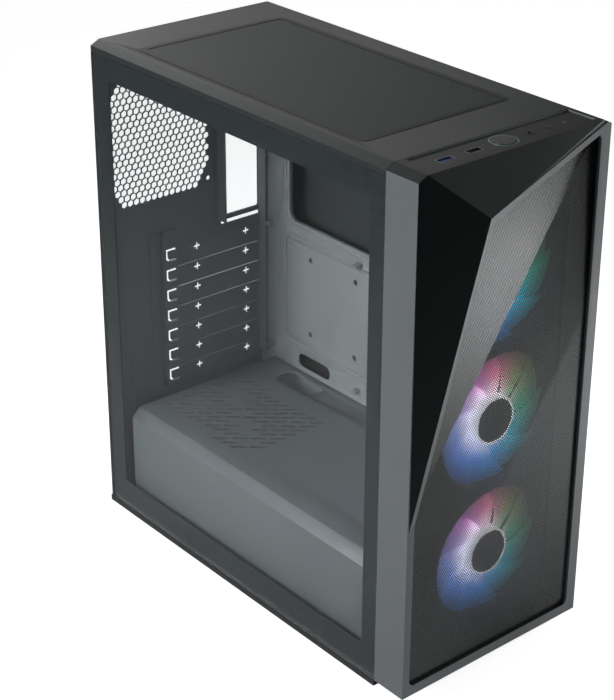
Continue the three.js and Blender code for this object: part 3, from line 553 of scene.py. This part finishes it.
def bead_round(name, loop, x):
    """The bead's section of (outward, height) points carried round a loop that lies across x, with the
    heights measured from x: each place is the loop's point plus its outward direction times the first."""
    points, ways = loop
    section = np.array([(-1.9, 0.2), (-1.3, -0.9), (0, -1.5), (1.3, -0.9), (1.9, 0.2)])
    n, m = len(points), len(section)
    made = np.empty((n, m, 3))
    made[..., 0] = x + section[None, :, 1]
    made[..., 1:] = points[:, None] + ways[:, None] * section[None, :, :1]
    i, j = np.meshgrid(np.arange(n), np.arange(m), indexing="ij")
    this, after = i * m, (i + 1) % n * m
    corners = np.stack([this + j, after + j, after + (j + 1) % m, this + (j + 1) % m], 2)
    piece = mesh_piece(name, place(made.reshape(-1, 3)), corners.reshape(-1, 4).tolist(), tray_reflection_coat,
                       "chassis", smooth=True)
    outward(piece.data)


bead_round("tray_bead_lower", loop_of(235, 364.5, 124, 234, 11), 180.1)
bead_round("tray_bead_upper", loop_of(236, 361, 246, 387, 13), 177.6)


# ---- Board pillars ------------------------------------------------------------------------
# Nine nickel-plated brass pillars are screwed into the tray, each with a threaded hole for a
# screw of the board.

plated = finish("nickel_plate", (0.55, 0.56, 0.57), 0.3, metallic=1.0, bump=0.05, grain_scale=600)
for n in range(1, 10):
    cast(f"standoff_{n}", f"board_pillar_{n}", plated, 0.25, 2, 40)


# ---- Power supply shroud ------------------------------------------------------------------
# A folded cover of grey-coated steel hides the power supply. Its top is louvred with short
# leaning slots, left solid along one diagonal, over a thin black sheet laid inside as painted shade.

LOUVRED = (38.0, 132.0, 240.0, 380.0)
LEAN = math.atan2(-0.66, 0.75)
ROW_APART, STEP_APART, BAND_HALF = 7.7, 17.0, 6
LOUVRE_LENGTH, LOUVRE_WIDTH = 14.0, 2.6
along = np.array([math.cos(LEAN), math.sin(LEAN)])
across = np.array([-math.sin(LEAN), math.cos(LEAN)])
middle = np.array([(LOUVRED[0] + LOUVRED[1]) / 2, (LOUVRED[2] + LOUVRED[3]) / 2])
diagonal = np.array([LOUVRED[1] - LOUVRED[0], LOUVRED[3] - LOUVRED[2]])
diagonal = diagonal / np.linalg.norm(diagonal)
louvres = []
for row in range(-12, 13):
    for step in range(-5, 6):
        spot = middle + across * row * ROW_APART + along * (step + 0.5 * (row % 2)) * STEP_APART
        off = abs(diagonal[0] * (spot - middle)[1] - diagonal[1] * (spot - middle)[0])
        inside = LOUVRED[0] + 3 < spot[0] < LOUVRED[1] - 3 and LOUVRED[2] + 4 < spot[1] < LOUVRED[3] - 4
        if inside and off > BAND_HALF:
            louvres.append(spot)
shroud_coat = finish("shroud_coat", (0.11, 0.116, 0.12), 0.42, specular=0.45, clouding=0.15, bump=0.12,
                     grain_scale=1200)
shroud = cast("psu_shroud", "supply_shroud", shroud_coat, 0.8, 3, 25)
punch(shroud, [slots(louvres, LOUVRE_LENGTH, LOUVRE_WIDTH, LEAN)], 2, 90, 105)
# Painted shade: a black sheet under the louvres keeps the slots dark.
bars("louvre_shade_sheet", [(36, 134, 238, 379, 95.0, 95.8)], black_coat, "chassis", 0.3)


# ---- Drive cage ---------------------------------------------------------------------------
# A cage of folded grey-coated steel stands under the front of the shroud, riveted to the
# floor pan, with bays for disk drives.

cast("drive_cage", "drive_bays", grey_coat, 0.4)


# ---- Front wall ---------------------------------------------------------------------------
# The chassis front is a folded wall of black-coated steel, riveted to the floor pan, with
# openings that the three fans blow through.

cast("front_wall", "chassis_front", black_coat, 0.3)


# ---- Fan housings -------------------------------------------------------------------------
# Three square housings of black moulded plastic, 120 mm across, are screwed to the front
# wall, one above the other.

FAN_LEVELS = {"lower": 93.5, "middle": 213.5, "upper": 333.5}
fan_plastic = finish("fan_plastic", (0.015, 0.016, 0.017), 0.4, bump=0.1, grain_scale=1500)
for label in FAN_LEVELS:
    cast(f"fan_frame_{label}", f"fan_housing_{label}", fan_plastic, 0.5, 2, 40)


# ---- Fan rotors ---------------------------------------------------------------------------
# Each rotor turns on an axle in its housing: nine swept blades of clear plastic moulded on a
# hub with a bright ring. Lamps in the hub light it, in a colour that changes round it.

FAN_X, TIP, HUB = 99.0, 55.8, 20.0
BLADES, CHORD_TURN, SWEEP_TURN = 9, math.radians(47), math.radians(26)
HUB_FACE, HUB_BACK = 9.3, 27
HUES = [(0.0, (0.28, 0.42, 0.95)), (0.13, (0.10, 0.30, 0.95)), (0.25, (0.02, 0.30, 0.85)),
        (0.38, (0.0, 0.42, 0.55)), (0.5, (0.02, 0.34, 0.2)), (0.62, (0.25, 0.3, 0.1)),
        (0.74, (0.8, 0.2, 0.42)), (0.86, (0.65, 0.28, 0.8)), (1.0, (0.28, 0.42, 0.95))]
HUB_WHITE = (1.3, 1.3, 1.5, 1)

lit = bpy.data.materials.new("lit_blades")
lit.use_nodes = True
lit_tree = lit.node_tree
lit_shader = lit_tree.nodes["Principled BSDF"]
dial = add(lit_tree, "ShaderNodeUVMap", uv_map="dial")
centred = add(lit_tree, "ShaderNodeVectorMath", {0: dial.outputs[0], 1: (-0.5, -0.5, 0)}, operation="ADD")
split = add(lit_tree, "ShaderNodeSeparateXYZ", {0: centred.outputs[0]})
angle_of = add(lit_tree, "ShaderNodeMath", {0: split.outputs["Y"], 1: split.outputs["X"]},
               operation="ARCTAN2")
turned_to = add(lit_tree, "ShaderNodeMapRange",
                {"Value": angle_of.outputs[0], "From Min": -math.pi, "From Max": math.pi})
hue = add(lit_tree, "ShaderNodeValToRGB", {0: turned_to.outputs[0]})
while len(hue.color_ramp.elements) < len(HUES):
    hue.color_ramp.elements.new(0.5)
for stop, (at, tone) in zip(hue.color_ramp.elements, HUES):
    stop.position, stop.color = at, (*tone, 1)
radius_of = add(lit_tree, "ShaderNodeVectorMath", {0: centred.outputs[0]}, operation="LENGTH")
halo = add(lit_tree, "ShaderNodeMapRange",
           {"Value": radius_of.outputs["Value"], "From Min": 0.165, "From Max": 0.36,
            "To Min": 1.0, "To Max": 0.0}, interpolation_type="SMOOTHERSTEP")
fade = add(lit_tree, "ShaderNodeMapRange",
           {"Value": radius_of.outputs["Value"], "From Min": 0.30, "From Max": 0.5,
            "To Min": 1.0, "To Max": 0.25}, interpolation_type="SMOOTHSTEP")
left_side = add(lit_tree, "ShaderNodeMapRange",
                {"Value": split.outputs["X"], "From Min": -0.35, "From Max": 0.3,
                 "To Min": 1.0, "To Max": 0.12})
halo_here = add(lit_tree, "ShaderNodeMath", {0: halo.outputs[0], 1: left_side.outputs[0]},
                operation="MULTIPLY")
whitened = add(lit_tree, "ShaderNodeMix", {0: halo_here.outputs[0], 6: hue.outputs[0], 7: HUB_WHITE},
               data_type="RGBA")
dimmed = add(lit_tree, "ShaderNodeVectorMath", {0: whitened.outputs[2], "Scale": fade.outputs[0]},
             operation="SCALE")
lit_tree.links.new(dimmed.outputs[0], lit_shader.inputs["Emission Color"])
lit_tree.links.new(dimmed.outputs[0], lit_shader.inputs["Base Color"])
lit_shader.inputs["Emission Strength"].default_value = 2.1
lit_shader.inputs["Roughness"].default_value = 0.35


def dial_map(piece, z):
    """Gives each corner a UV place on the fan's face: its middle is (0.5, 0.5), the tip circle 1 across."""
    mesh = piece.data
    layer = mesh.uv_layers.new(name="dial")
    spots = np.empty(len(mesh.vertices) * 3)
    mesh.vertices.foreach_get("co", spots)
    spots = spots.reshape(-1, 3)
    axis_at = place((FAN_X, 0, z))
    index = np.empty(len(mesh.loops), int)
    mesh.loops.foreach_get("vertex_index", index)
    across_at = (spots[index][:, [0, 2]] - axis_at[[0, 2]]) / (2 * TIP / 1000) + 0.5
    layer.data.foreach_set("uv", across_at.ravel())


def turned_part(name, profile, z, material, body, sides=72):
    """A profile of (radius, depth) points in mm carried round a fan's axis: at each angle the place is the
    axis plus the radius times (cos, sin), with the depth along y. It is closed or ends on the axis."""
    profile = np.asarray(profile, float)
    swing = np.arange(sides) * math.tau / sides
    ring = np.empty((sides, len(profile), 3))
    ring[..., 0] = FAN_X + np.cos(swing)[:, None] * profile[None, :, 0]
    ring[..., 1] = profile[None, :, 1]
    ring[..., 2] = z + np.sin(swing)[:, None] * profile[None, :, 0]
    m = len(profile)
    i, j = np.meshgrid(np.arange(sides), np.arange(m - 1), indexing="ij")
    this, after = i * m + j, (i + 1) % sides * m + j
    corners = np.stack([this, after, after + 1, this + 1], 2)
    piece = mesh_piece(name, place(ring.reshape(-1, 3)), corners.reshape(-1, 4).tolist(), material, body,
                       smooth=True)
    outward(piece.data, merge=1e-6)


def blades(name, z, body):
    """Nine swept blades. Each is a grid of (out along the radius, across the chord): the angle is the
    blade's own plus the chord plus a sweep that grows outwards, and the depth falls along the chord with
    a slight belly."""
    out = np.linspace(0, 1, 14)[:, None]
    chord = np.linspace(-0.5, 0.5, 12)[None, :]
    rows, columns = out.size, chord.size
    radius = HUB - 0.6 + (TIP - HUB + 0.6) * out
    angle = chord * CHORD_TURN + SWEEP_TURN * out
    depth = 17.5 - 6.0 * chord + 2.0 * (0.25 - chord ** 2)
    i, j = np.meshgrid(np.arange(rows - 1), np.arange(columns - 1), indexing="ij")
    this, after = i * columns + j, (i + 1) * columns + j
    quads = np.stack([this, this + 1, after + 1, after], 2).reshape(-1, 4)
    points, faces = [], []
    for n in range(BLADES):
        swing = angle + n * math.tau / BLADES
        points.append(np.stack([FAN_X + radius * np.cos(swing), depth + radius * 0,
                                z + radius * np.sin(swing)], 2).reshape(-1, 3))
        faces += (quads + n * rows * columns).tolist()
    piece = mesh_piece(name, place(np.concatenate(points)), faces, lit, body, smooth=True)
    dial_map(piece, z)
    thick = piece.modifiers.new("blade_wall", "SOLIDIFY")
    thick.thickness, thick.offset = 0.0012, 0.0
    return piece


hub_ring = finish("hub_ring", (0.9, 0.95, 1.0), 0.4, bump=0.02, glow=2.2)
hub_dark = finish("hub_plastic", (0.02, 0.025, 0.035), 0.35, bump=0.05)
hub_profile = [(0, HUB_FACE), (HUB - 1.9, HUB_FACE), (HUB - 1.6, HUB_FACE + 0.5), (HUB - 1.6, HUB_BACK),
               (0, HUB_BACK)]
ring_profile = [(HUB - 1.7, HUB_FACE + 0.6), (HUB - 1.4, HUB_FACE), (HUB + 0.1, HUB_FACE),
                (HUB + 0.4, HUB_FACE + 0.6), (HUB + 0.4, HUB_BACK), (HUB - 1.7, HUB_BACK),
                (HUB - 1.7, HUB_FACE + 0.6)]
for label, z in FAN_LEVELS.items():
    rotor = f"fan_rotor_{label}"
    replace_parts(blades(f"fan_blades_{label}", z, rotor), rotor)
    turned_part(f"fan_hub_{label}", hub_profile, z, hub_dark, rotor)
    turned_part(f"fan_ring_{label}", ring_profile, z, hub_ring, rotor)


# ---- Top cover and grilles ----------------------------------------------------------------
# The top is a black-coated steel cover, screwed to the chassis, with chamfered long edges and
# a sunken field. Two round fan holes in it are closed by grilles of punched hexagons.

GRILLE_X, GRILLE_RADIUS, GRILLE_LEVEL = 92.5, 60, 440.2
GRILLE_PITCH, GRILLE_HOLE = 5.0, 2.2
cast("top_panel", "top_cover", black_coat, 0.35, 2, 20)
for label, y in (("front", 150), ("rear", 285)):
    disc = lattice(GRILLE_X - GRILLE_RADIUS, GRILLE_X + GRILLE_RADIUS,
                   y - GRILLE_RADIUS, y + GRILLE_RADIUS, GRILLE_PITCH)
    disc = disc[np.hypot(disc[:, 0] - GRILLE_X, disc[:, 1] - y) < GRILLE_RADIUS - 1]
    perforated(f"top_grille_{label}", disc, GRILLE_PITCH, GRILLE_HOLE, at_height(GRILLE_LEVEL), (0, 0, -1.0),
               black_coat, "chassis")


# ---- Dust filter --------------------------------------------------------------------------
# A thin black plastic frame with a magnetic edge lies over the fan holes of the top. Its
# sunken field is a fine woven cloth, with darker spots over the holes below painted into its colour as
# painted shade.

FIELD, FIELD_RADIUS, FIELD_LEVEL = (21.5, 163.5, 82, 353.5), 4, 442.45
CLOTH_BLACK = (0.021, 0.024, 0.025)
cloth = bpy.data.materials.new("filter_cloth")
cloth.use_nodes = True
cloth_tree = cloth.node_tree
cloth_shader = cloth_tree.nodes["Principled BSDF"]
cloth_at = add(cloth_tree, "ShaderNodeTexCoord").outputs["Object"]
threads = add(cloth_tree, "ShaderNodeTexVoronoi", {"Vector": cloth_at, "Scale": 900.0, "Randomness": 0.0},
              feature="F1")
below = add(cloth_tree, "ShaderNodeMapping", {"Vector": cloth_at, "Rotation": (0, 0, math.radians(45))})
# Painted shade: darker spots on the cloth where the holes of the grilles lie below it.
hole_shade_spots = add(cloth_tree, "ShaderNodeTexVoronoi",
                  {"Vector": below.outputs[0], "Scale": 230.0, "Randomness": 0.0},
                  feature="F1", voronoi_dimensions="2D")
hole_shade_tone = add(cloth_tree, "ShaderNodeMapRange",
                {"Value": hole_shade_spots.outputs["Distance"], "From Min": 0.2, "From Max": 0.5,
                 "To Min": 0.78, "To Max": 1.12})
patch = add(cloth_tree, "ShaderNodeTexNoise", {"Vector": cloth_at, "Scale": 9.0, "Detail": 3.0})
patch_tone = add(cloth_tree, "ShaderNodeMapRange",
                 {"Value": patch.outputs[0], "From Min": 0.3, "From Max": 0.7,
                  "To Min": 0.85, "To Max": 1.15})
both_tones = add(cloth_tree, "ShaderNodeMath", {0: hole_shade_tone.outputs[0], 1: patch_tone.outputs[0]},
                 operation="MULTIPLY")
cloth_colour = add(cloth_tree, "ShaderNodeVectorMath", {0: CLOTH_BLACK, "Scale": both_tones.outputs[0]},
                   operation="SCALE")
cloth_tree.links.new(cloth_colour.outputs[0], cloth_shader.inputs["Base Color"])
cloth_bump = add(cloth_tree, "ShaderNodeBump",
                 {"Height": threads.outputs["Distance"], "Strength": 0.35, "Distance": 0.0003})
cloth_tree.links.new(cloth_bump.outputs[0], cloth_shader.inputs["Normal"])
cloth_shader.inputs["Roughness"].default_value = 0.5
cloth_shader.inputs["Specular IOR Level"].default_value = 0.35

dust_filter = cast("top_filter", "dust_filter", filter_plastic, 0.35, 2, 40)
punch(dust_filter, [loop_of(*FIELD, FIELD_RADIUS)[0][None]], 2, FIELD_LEVEL, 445)
dust_filter.data.materials.append(cloth)
for face in dust_filter.data.polygons:
    height = (face.center[2] - corner[2]) * 1000
    if face.normal[2] > 0.9 and abs(height - FIELD_LEVEL) < 0.05:
        face.material_index = 1


# ---- Front moulding -----------------------------------------------------------------------
# The front panel's body is a satin plastic moulding, pushed onto the chassis with pegs. Two
# large facets rise to a peak and are polished, a rim inside them is bright, and its upward faces
# are painted dark as painted shade.

satin = finish("panel_satin", (0.21, 0.225, 0.235), 0.36, metallic=0.3, clouding=0.12, bump=0.12,
               grain_scale=1600)
gloss = finish("panel_gloss", (0.004, 0.007, 0.008), 0.2, specular=0.3, clouding=0.6, spread=0.1, bump=0.02,
               grain_scale=500)
rim_satin = finish("rim_satin", (0.22, 0.23, 0.235), 0.3, metallic=0.6, clouding=0.1, bump=0.08,
                   grain_scale=1600)
# Painted shade: a dark copy of the satin, put on the moulding's upward faces.
top_shade_satin = finish("shoulder_painted_shade", (0.014, 0.016, 0.017), 0.42, specular=0.35, clouding=0.12, bump=0.15,
                    grain_scale=1600)
PEAK = np.array([53, -20, 404.7])
GLOSS, RIM, TOP_SHADE = 1, 2, 3
GLOSS_EDGES = [((8.65, 0, 442.5), (189.35, 0, 442.5)), ((0, 0, 438.1), (1.5, 0, 154.4)),
               ((4.3, 0, 440.3), (8.65, 0, 442.5)), ((0, 0, 438.1), (4.3, 0, 440.3)),
               ((189.35, 0, 442.5), (194.4, 0, 439.9))]
RIM_EDGES = [((192, 0.6, 433), (194.4, 0, 439.9)), ((57.5, -18.7, 400.3), (192, 0.6, 433)),
             ((1.5, 0, 154.4), (57.5, -18.7, 400.3))]

panel = cast("front_bezel", "front_moulding", satin, 0.35, 2, 18)
for extra in (gloss, rim_satin, top_shade_satin):
    panel.data.materials.append(extra)


def lies_on(spot, facing, edge):
    """True where a face's middle is within 0.05 mm of the plane through the peak and an edge, and the face
    lies along it: the plane's normal is the cross product of the ways from the peak to the edge's ends."""
    normal = np.cross(np.array(edge[0]) - PEAK, np.array(edge[1]) - PEAK)
    normal = normal / np.linalg.norm(normal)
    return abs(normal @ (spot - PEAK)) < 0.05 and abs(normal @ facing) > 0.9995 and facing[1] < 0


for face in panel.data.polygons:
    spot = (np.array(face.center) - corner) * 1000
    facing = np.array(face.normal)
    # Upward faces take the painted shade.
    if facing[2] > 0.8:
        face.material_index = TOP_SHADE
    for index, edges in ((GLOSS, GLOSS_EDGES), (RIM, RIM_EDGES)):
        if any(lies_on(spot, facing, edge) for edge in edges):
            face.material_index = index


# ---- Front mesh ---------------------------------------------------------------------------
# A perforated steel sheet, coated a metallic grey, closes the front. It is folded on two
# parallel lines and held behind the moulding's rim, and the fans show through its holes.

MESH_LEFT, MESH_RIGHT = 5, 190
CORNER_LEFT, CORNER_RIGHT, APEX = 155.8, 434.8, (55.5, 403.2)
FOLD = 279 / 185
VALLEY, RIDGE = 155.8, 7.0
FLAT_DEPTH, VALLEY_DEPTH, STEEPNESS = 3.0, 7.2, 0.1378
MESH_PITCH, MESH_HOLE = 1.8, 0.7


def climb_of(a, b):
    """The way across the folds: b less the height that the fold lines have at a."""
    return b - FOLD * (a - MESH_LEFT)


def folded(a, b):
    """The perforated sheet's place at (a, b). Its depth is even below the ridge line, grows evenly from
    there to the valley line, and shrinks again, more steeply, from there to the tip."""
    climb = climb_of(a, b)
    tilted = FLAT_DEPTH + (VALLEY_DEPTH - FLAT_DEPTH) * (climb - RIDGE) / (VALLEY - RIDGE)
    steep = VALLEY_DEPTH - STEEPNESS * (climb - VALLEY)
    depth = np.where(climb < RIDGE, FLAT_DEPTH, np.where(climb < VALLEY, tilted, steep))
    return np.stack([a, depth, b], 1)


mesh_coat = finish("mesh_coat", (0.2, 0.208, 0.21), 0.26, metallic=0.9, clouding=0.1, bump=0.0)
cells = lattice(5.5, 189.5, 7.5, 434, MESH_PITCH)
cell_x, cell_z = cells.T
climb = climb_of(cell_x, cell_z)
left_edge = (cell_z - CORNER_LEFT) / (APEX[1] - CORNER_LEFT) * (APEX[0] - MESH_LEFT) + MESH_LEFT
top_edge = (cell_z - APEX[1]) / (CORNER_RIGHT - APEX[1]) * (MESH_RIGHT - APEX[0]) + APEX[0]
inside = (cell_x > np.where(cell_z > CORNER_LEFT, left_edge + 1, 0)) & (
    (cell_z < APEX[1]) | (cell_x > top_edge + 1))
steep, flat = climb > VALLEY, climb <= RIDGE
tilted = ~steep & ~flat
for label, pick in (("steep", steep), ("tilted_left", tilted & (cell_x < 97)),
                    ("tilted_right", tilted & (cell_x >= 97)), ("flat_left", flat & (cell_x < 125)),
                    ("flat_right", flat & (cell_x >= 125))):
    sheet = perforated(f"front_mesh_{label}", cells[inside & pick], MESH_PITCH, MESH_HOLE, folded,
                       (0, 1.0 if label == "steep" else 0.6, 0), mesh_coat, "front_panel")
    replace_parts(sheet, "front_mesh")


# ---- Socket strip and sockets -------------------------------------------------------------
# A black plastic strip is let into the top of the front moulding. It holds two data sockets
# of plated steel round plastic tongues, and a sound socket, soldered to a small board below.

SOCKET_BLUE_X, SOCKET_BLACK_X = 41.7, 70.4
TONGUE_HALF, TONGUE_FRONT, TONGUE_BACK, TONGUE_BOTTOM, TONGUE_TOP = 5.6, 17.8, 19.8, 428, 439.9
strip_gloss = finish("strip_plastic", (0.016, 0.017, 0.017), 0.42, specular=0.35, bump=0.1, grain_scale=1600)
blue_plastic = finish("socket_blue", (0.02, 0.11, 0.42), 0.4, bump=0.05)
sleeve = finish("socket_sleeve", (0.13, 0.135, 0.14), 0.35, metallic=1.0, bump=0.05, grain_scale=600)
board_mask = finish("board_mask", (0.01, 0.06, 0.03), 0.35, bump=0.1)
cast("io_strip", "socket_strip", strip_gloss, 0.3, 2, 40)
cast("usb3_socket", "usb_socket_blue", sleeve, 0.15, 1)
cast("usb2_socket", "usb_socket_plain", sleeve, 0.15, 1)
cast("audio_jack", "sound_socket", strip_gloss, 0.3, 2, 40)
cast("io_board", "socket_board", board_mask, 0.2, 1)
for label, x, plastic, slot_name in (("blue", SOCKET_BLUE_X, blue_plastic, "socket_blue"),
                                     ("black", SOCKET_BLACK_X, strip_gloss, "black_plastic")):
    bars(f"usb_tongue_{label}",
         [(x - TONGUE_HALF, x + TONGUE_HALF, TONGUE_FRONT, TONGUE_BACK, TONGUE_BOTTOM, TONGUE_TOP)],
         plastic, "front_panel", 0.1)


# ---- Buttons and lights -------------------------------------------------------------------
# The power and reset caps are black plastic and press down into the socket strip. A light
# ring of pale plastic runs round the power cap, and a small lens shows the drive's light.

button_gloss = finish("button_plastic", (0.02, 0.022, 0.024), 0.3, bump=0.05, grain_scale=1200)
ring_light = finish("ring_light", (0.10, 0.135, 0.15), 0.35, bump=0.02)
cast("power_ring", "power_light_ring", ring_light, 0.25, 2, 40)
cast("power_button", "power_cap", button_gloss, 0.5, 3, 40)
cast("reset_button", "reset_cap", button_gloss, 0.3, 2, 40)
cast("led_lens", "drive_light", ring_light, 0.2, 2, 40)


# ---- Glass pane and its border ------------------------------------------------------------
# The left side is a pane of tempered glass with rounded edges. A black border is printed on
# its back, where the steel carrier is bonded to it.

PANE_IOR = 1.28
BORDER_OUTER, BORDER_INNER = (34.2, 402, 0.6, 432.5), (52, 382.5, 24, 412)
BORDER_RADIUS, PRINT_DEPTH = 1.2, 3.82
pane_glass = bpy.data.materials.new("tempered_glass")
pane_glass.use_nodes = True
pane_tree = pane_glass.node_tree
pane_shader = pane_tree.nodes["Principled BSDF"]
pane_shader.inputs["Base Color"].default_value = (0.9, 0.92, 0.92, 1)
pane_shader.inputs["Roughness"].default_value = 0.0
pane_shader.inputs["IOR"].default_value = PANE_IOR
pane_shader.inputs["Transmission Weight"].default_value = 1.0
lamp_path = add(pane_tree, "ShaderNodeLightPath")
let_through = add(pane_tree, "ShaderNodeBsdfTransparent", {"Color": (0.82, 0.85, 0.85, 1)})
pane_mix = add(pane_tree, "ShaderNodeMixShader",
               {0: lamp_path.outputs["Is Shadow Ray"], 1: pane_shader.outputs[0], 2: let_through.outputs[0]})
pane_tree.links.new(pane_mix.outputs[0], pane_tree.nodes["Material Output"].inputs["Surface"])
cast("side_glass", "glass_pane", pane_glass, 0.5, 2, 40)

border_print = finish("border_print", (0.01, 0.014, 0.015), 0.3, bump=0.0)
outer_loop, inner_loop = (loop_of(*span, BORDER_RADIUS)[0] for span in (BORDER_OUTER, BORDER_INNER))
count = len(outer_loop)
around = np.stack([outer_loop, inner_loop], 1).reshape(-1, 2)
at = np.arange(count) * 2
after = (np.arange(count) + 1) % count * 2
mesh_piece("glass_border", place(np.insert(around, 0, PRINT_DEPTH, axis=1)),
           np.stack([at, at + 1, after + 1, after], 1).tolist(), border_print, "glass_panel")


# ---- Glass carrier ------------------------------------------------------------------------
# A frame of black-coated steel is bonded to the back of the pane and slides onto the chassis,
# so that no screw goes through the glass.

cast("glass_frame", "glass_carrier", black_coat, 0.3, 1)


# ---- Right panel --------------------------------------------------------------------------
# The right side is one plain sheet of black-coated steel with its edges folded in, which
# slides onto the chassis from behind.

cast("right_panel", "steel_side", black_coat, 0.5, 2)


# ---- Thumbscrews --------------------------------------------------------------------------
# Four black knurled screws go through the side panels' rear edges into the chassis, two for
# the glass carrier and two for the right panel, and are turned by hand.

screw_black = finish("screw_black", (0.02, 0.02, 0.021), 0.35, metallic=0.6, bump=0.1)
for prefix in ("glass", "panel"):
    for label in ("upper", "lower"):
        cast(f"{prefix}_thumbscrew_{label}", f"{prefix}_screw_{label}", screw_black, 0.4, 2, 25)
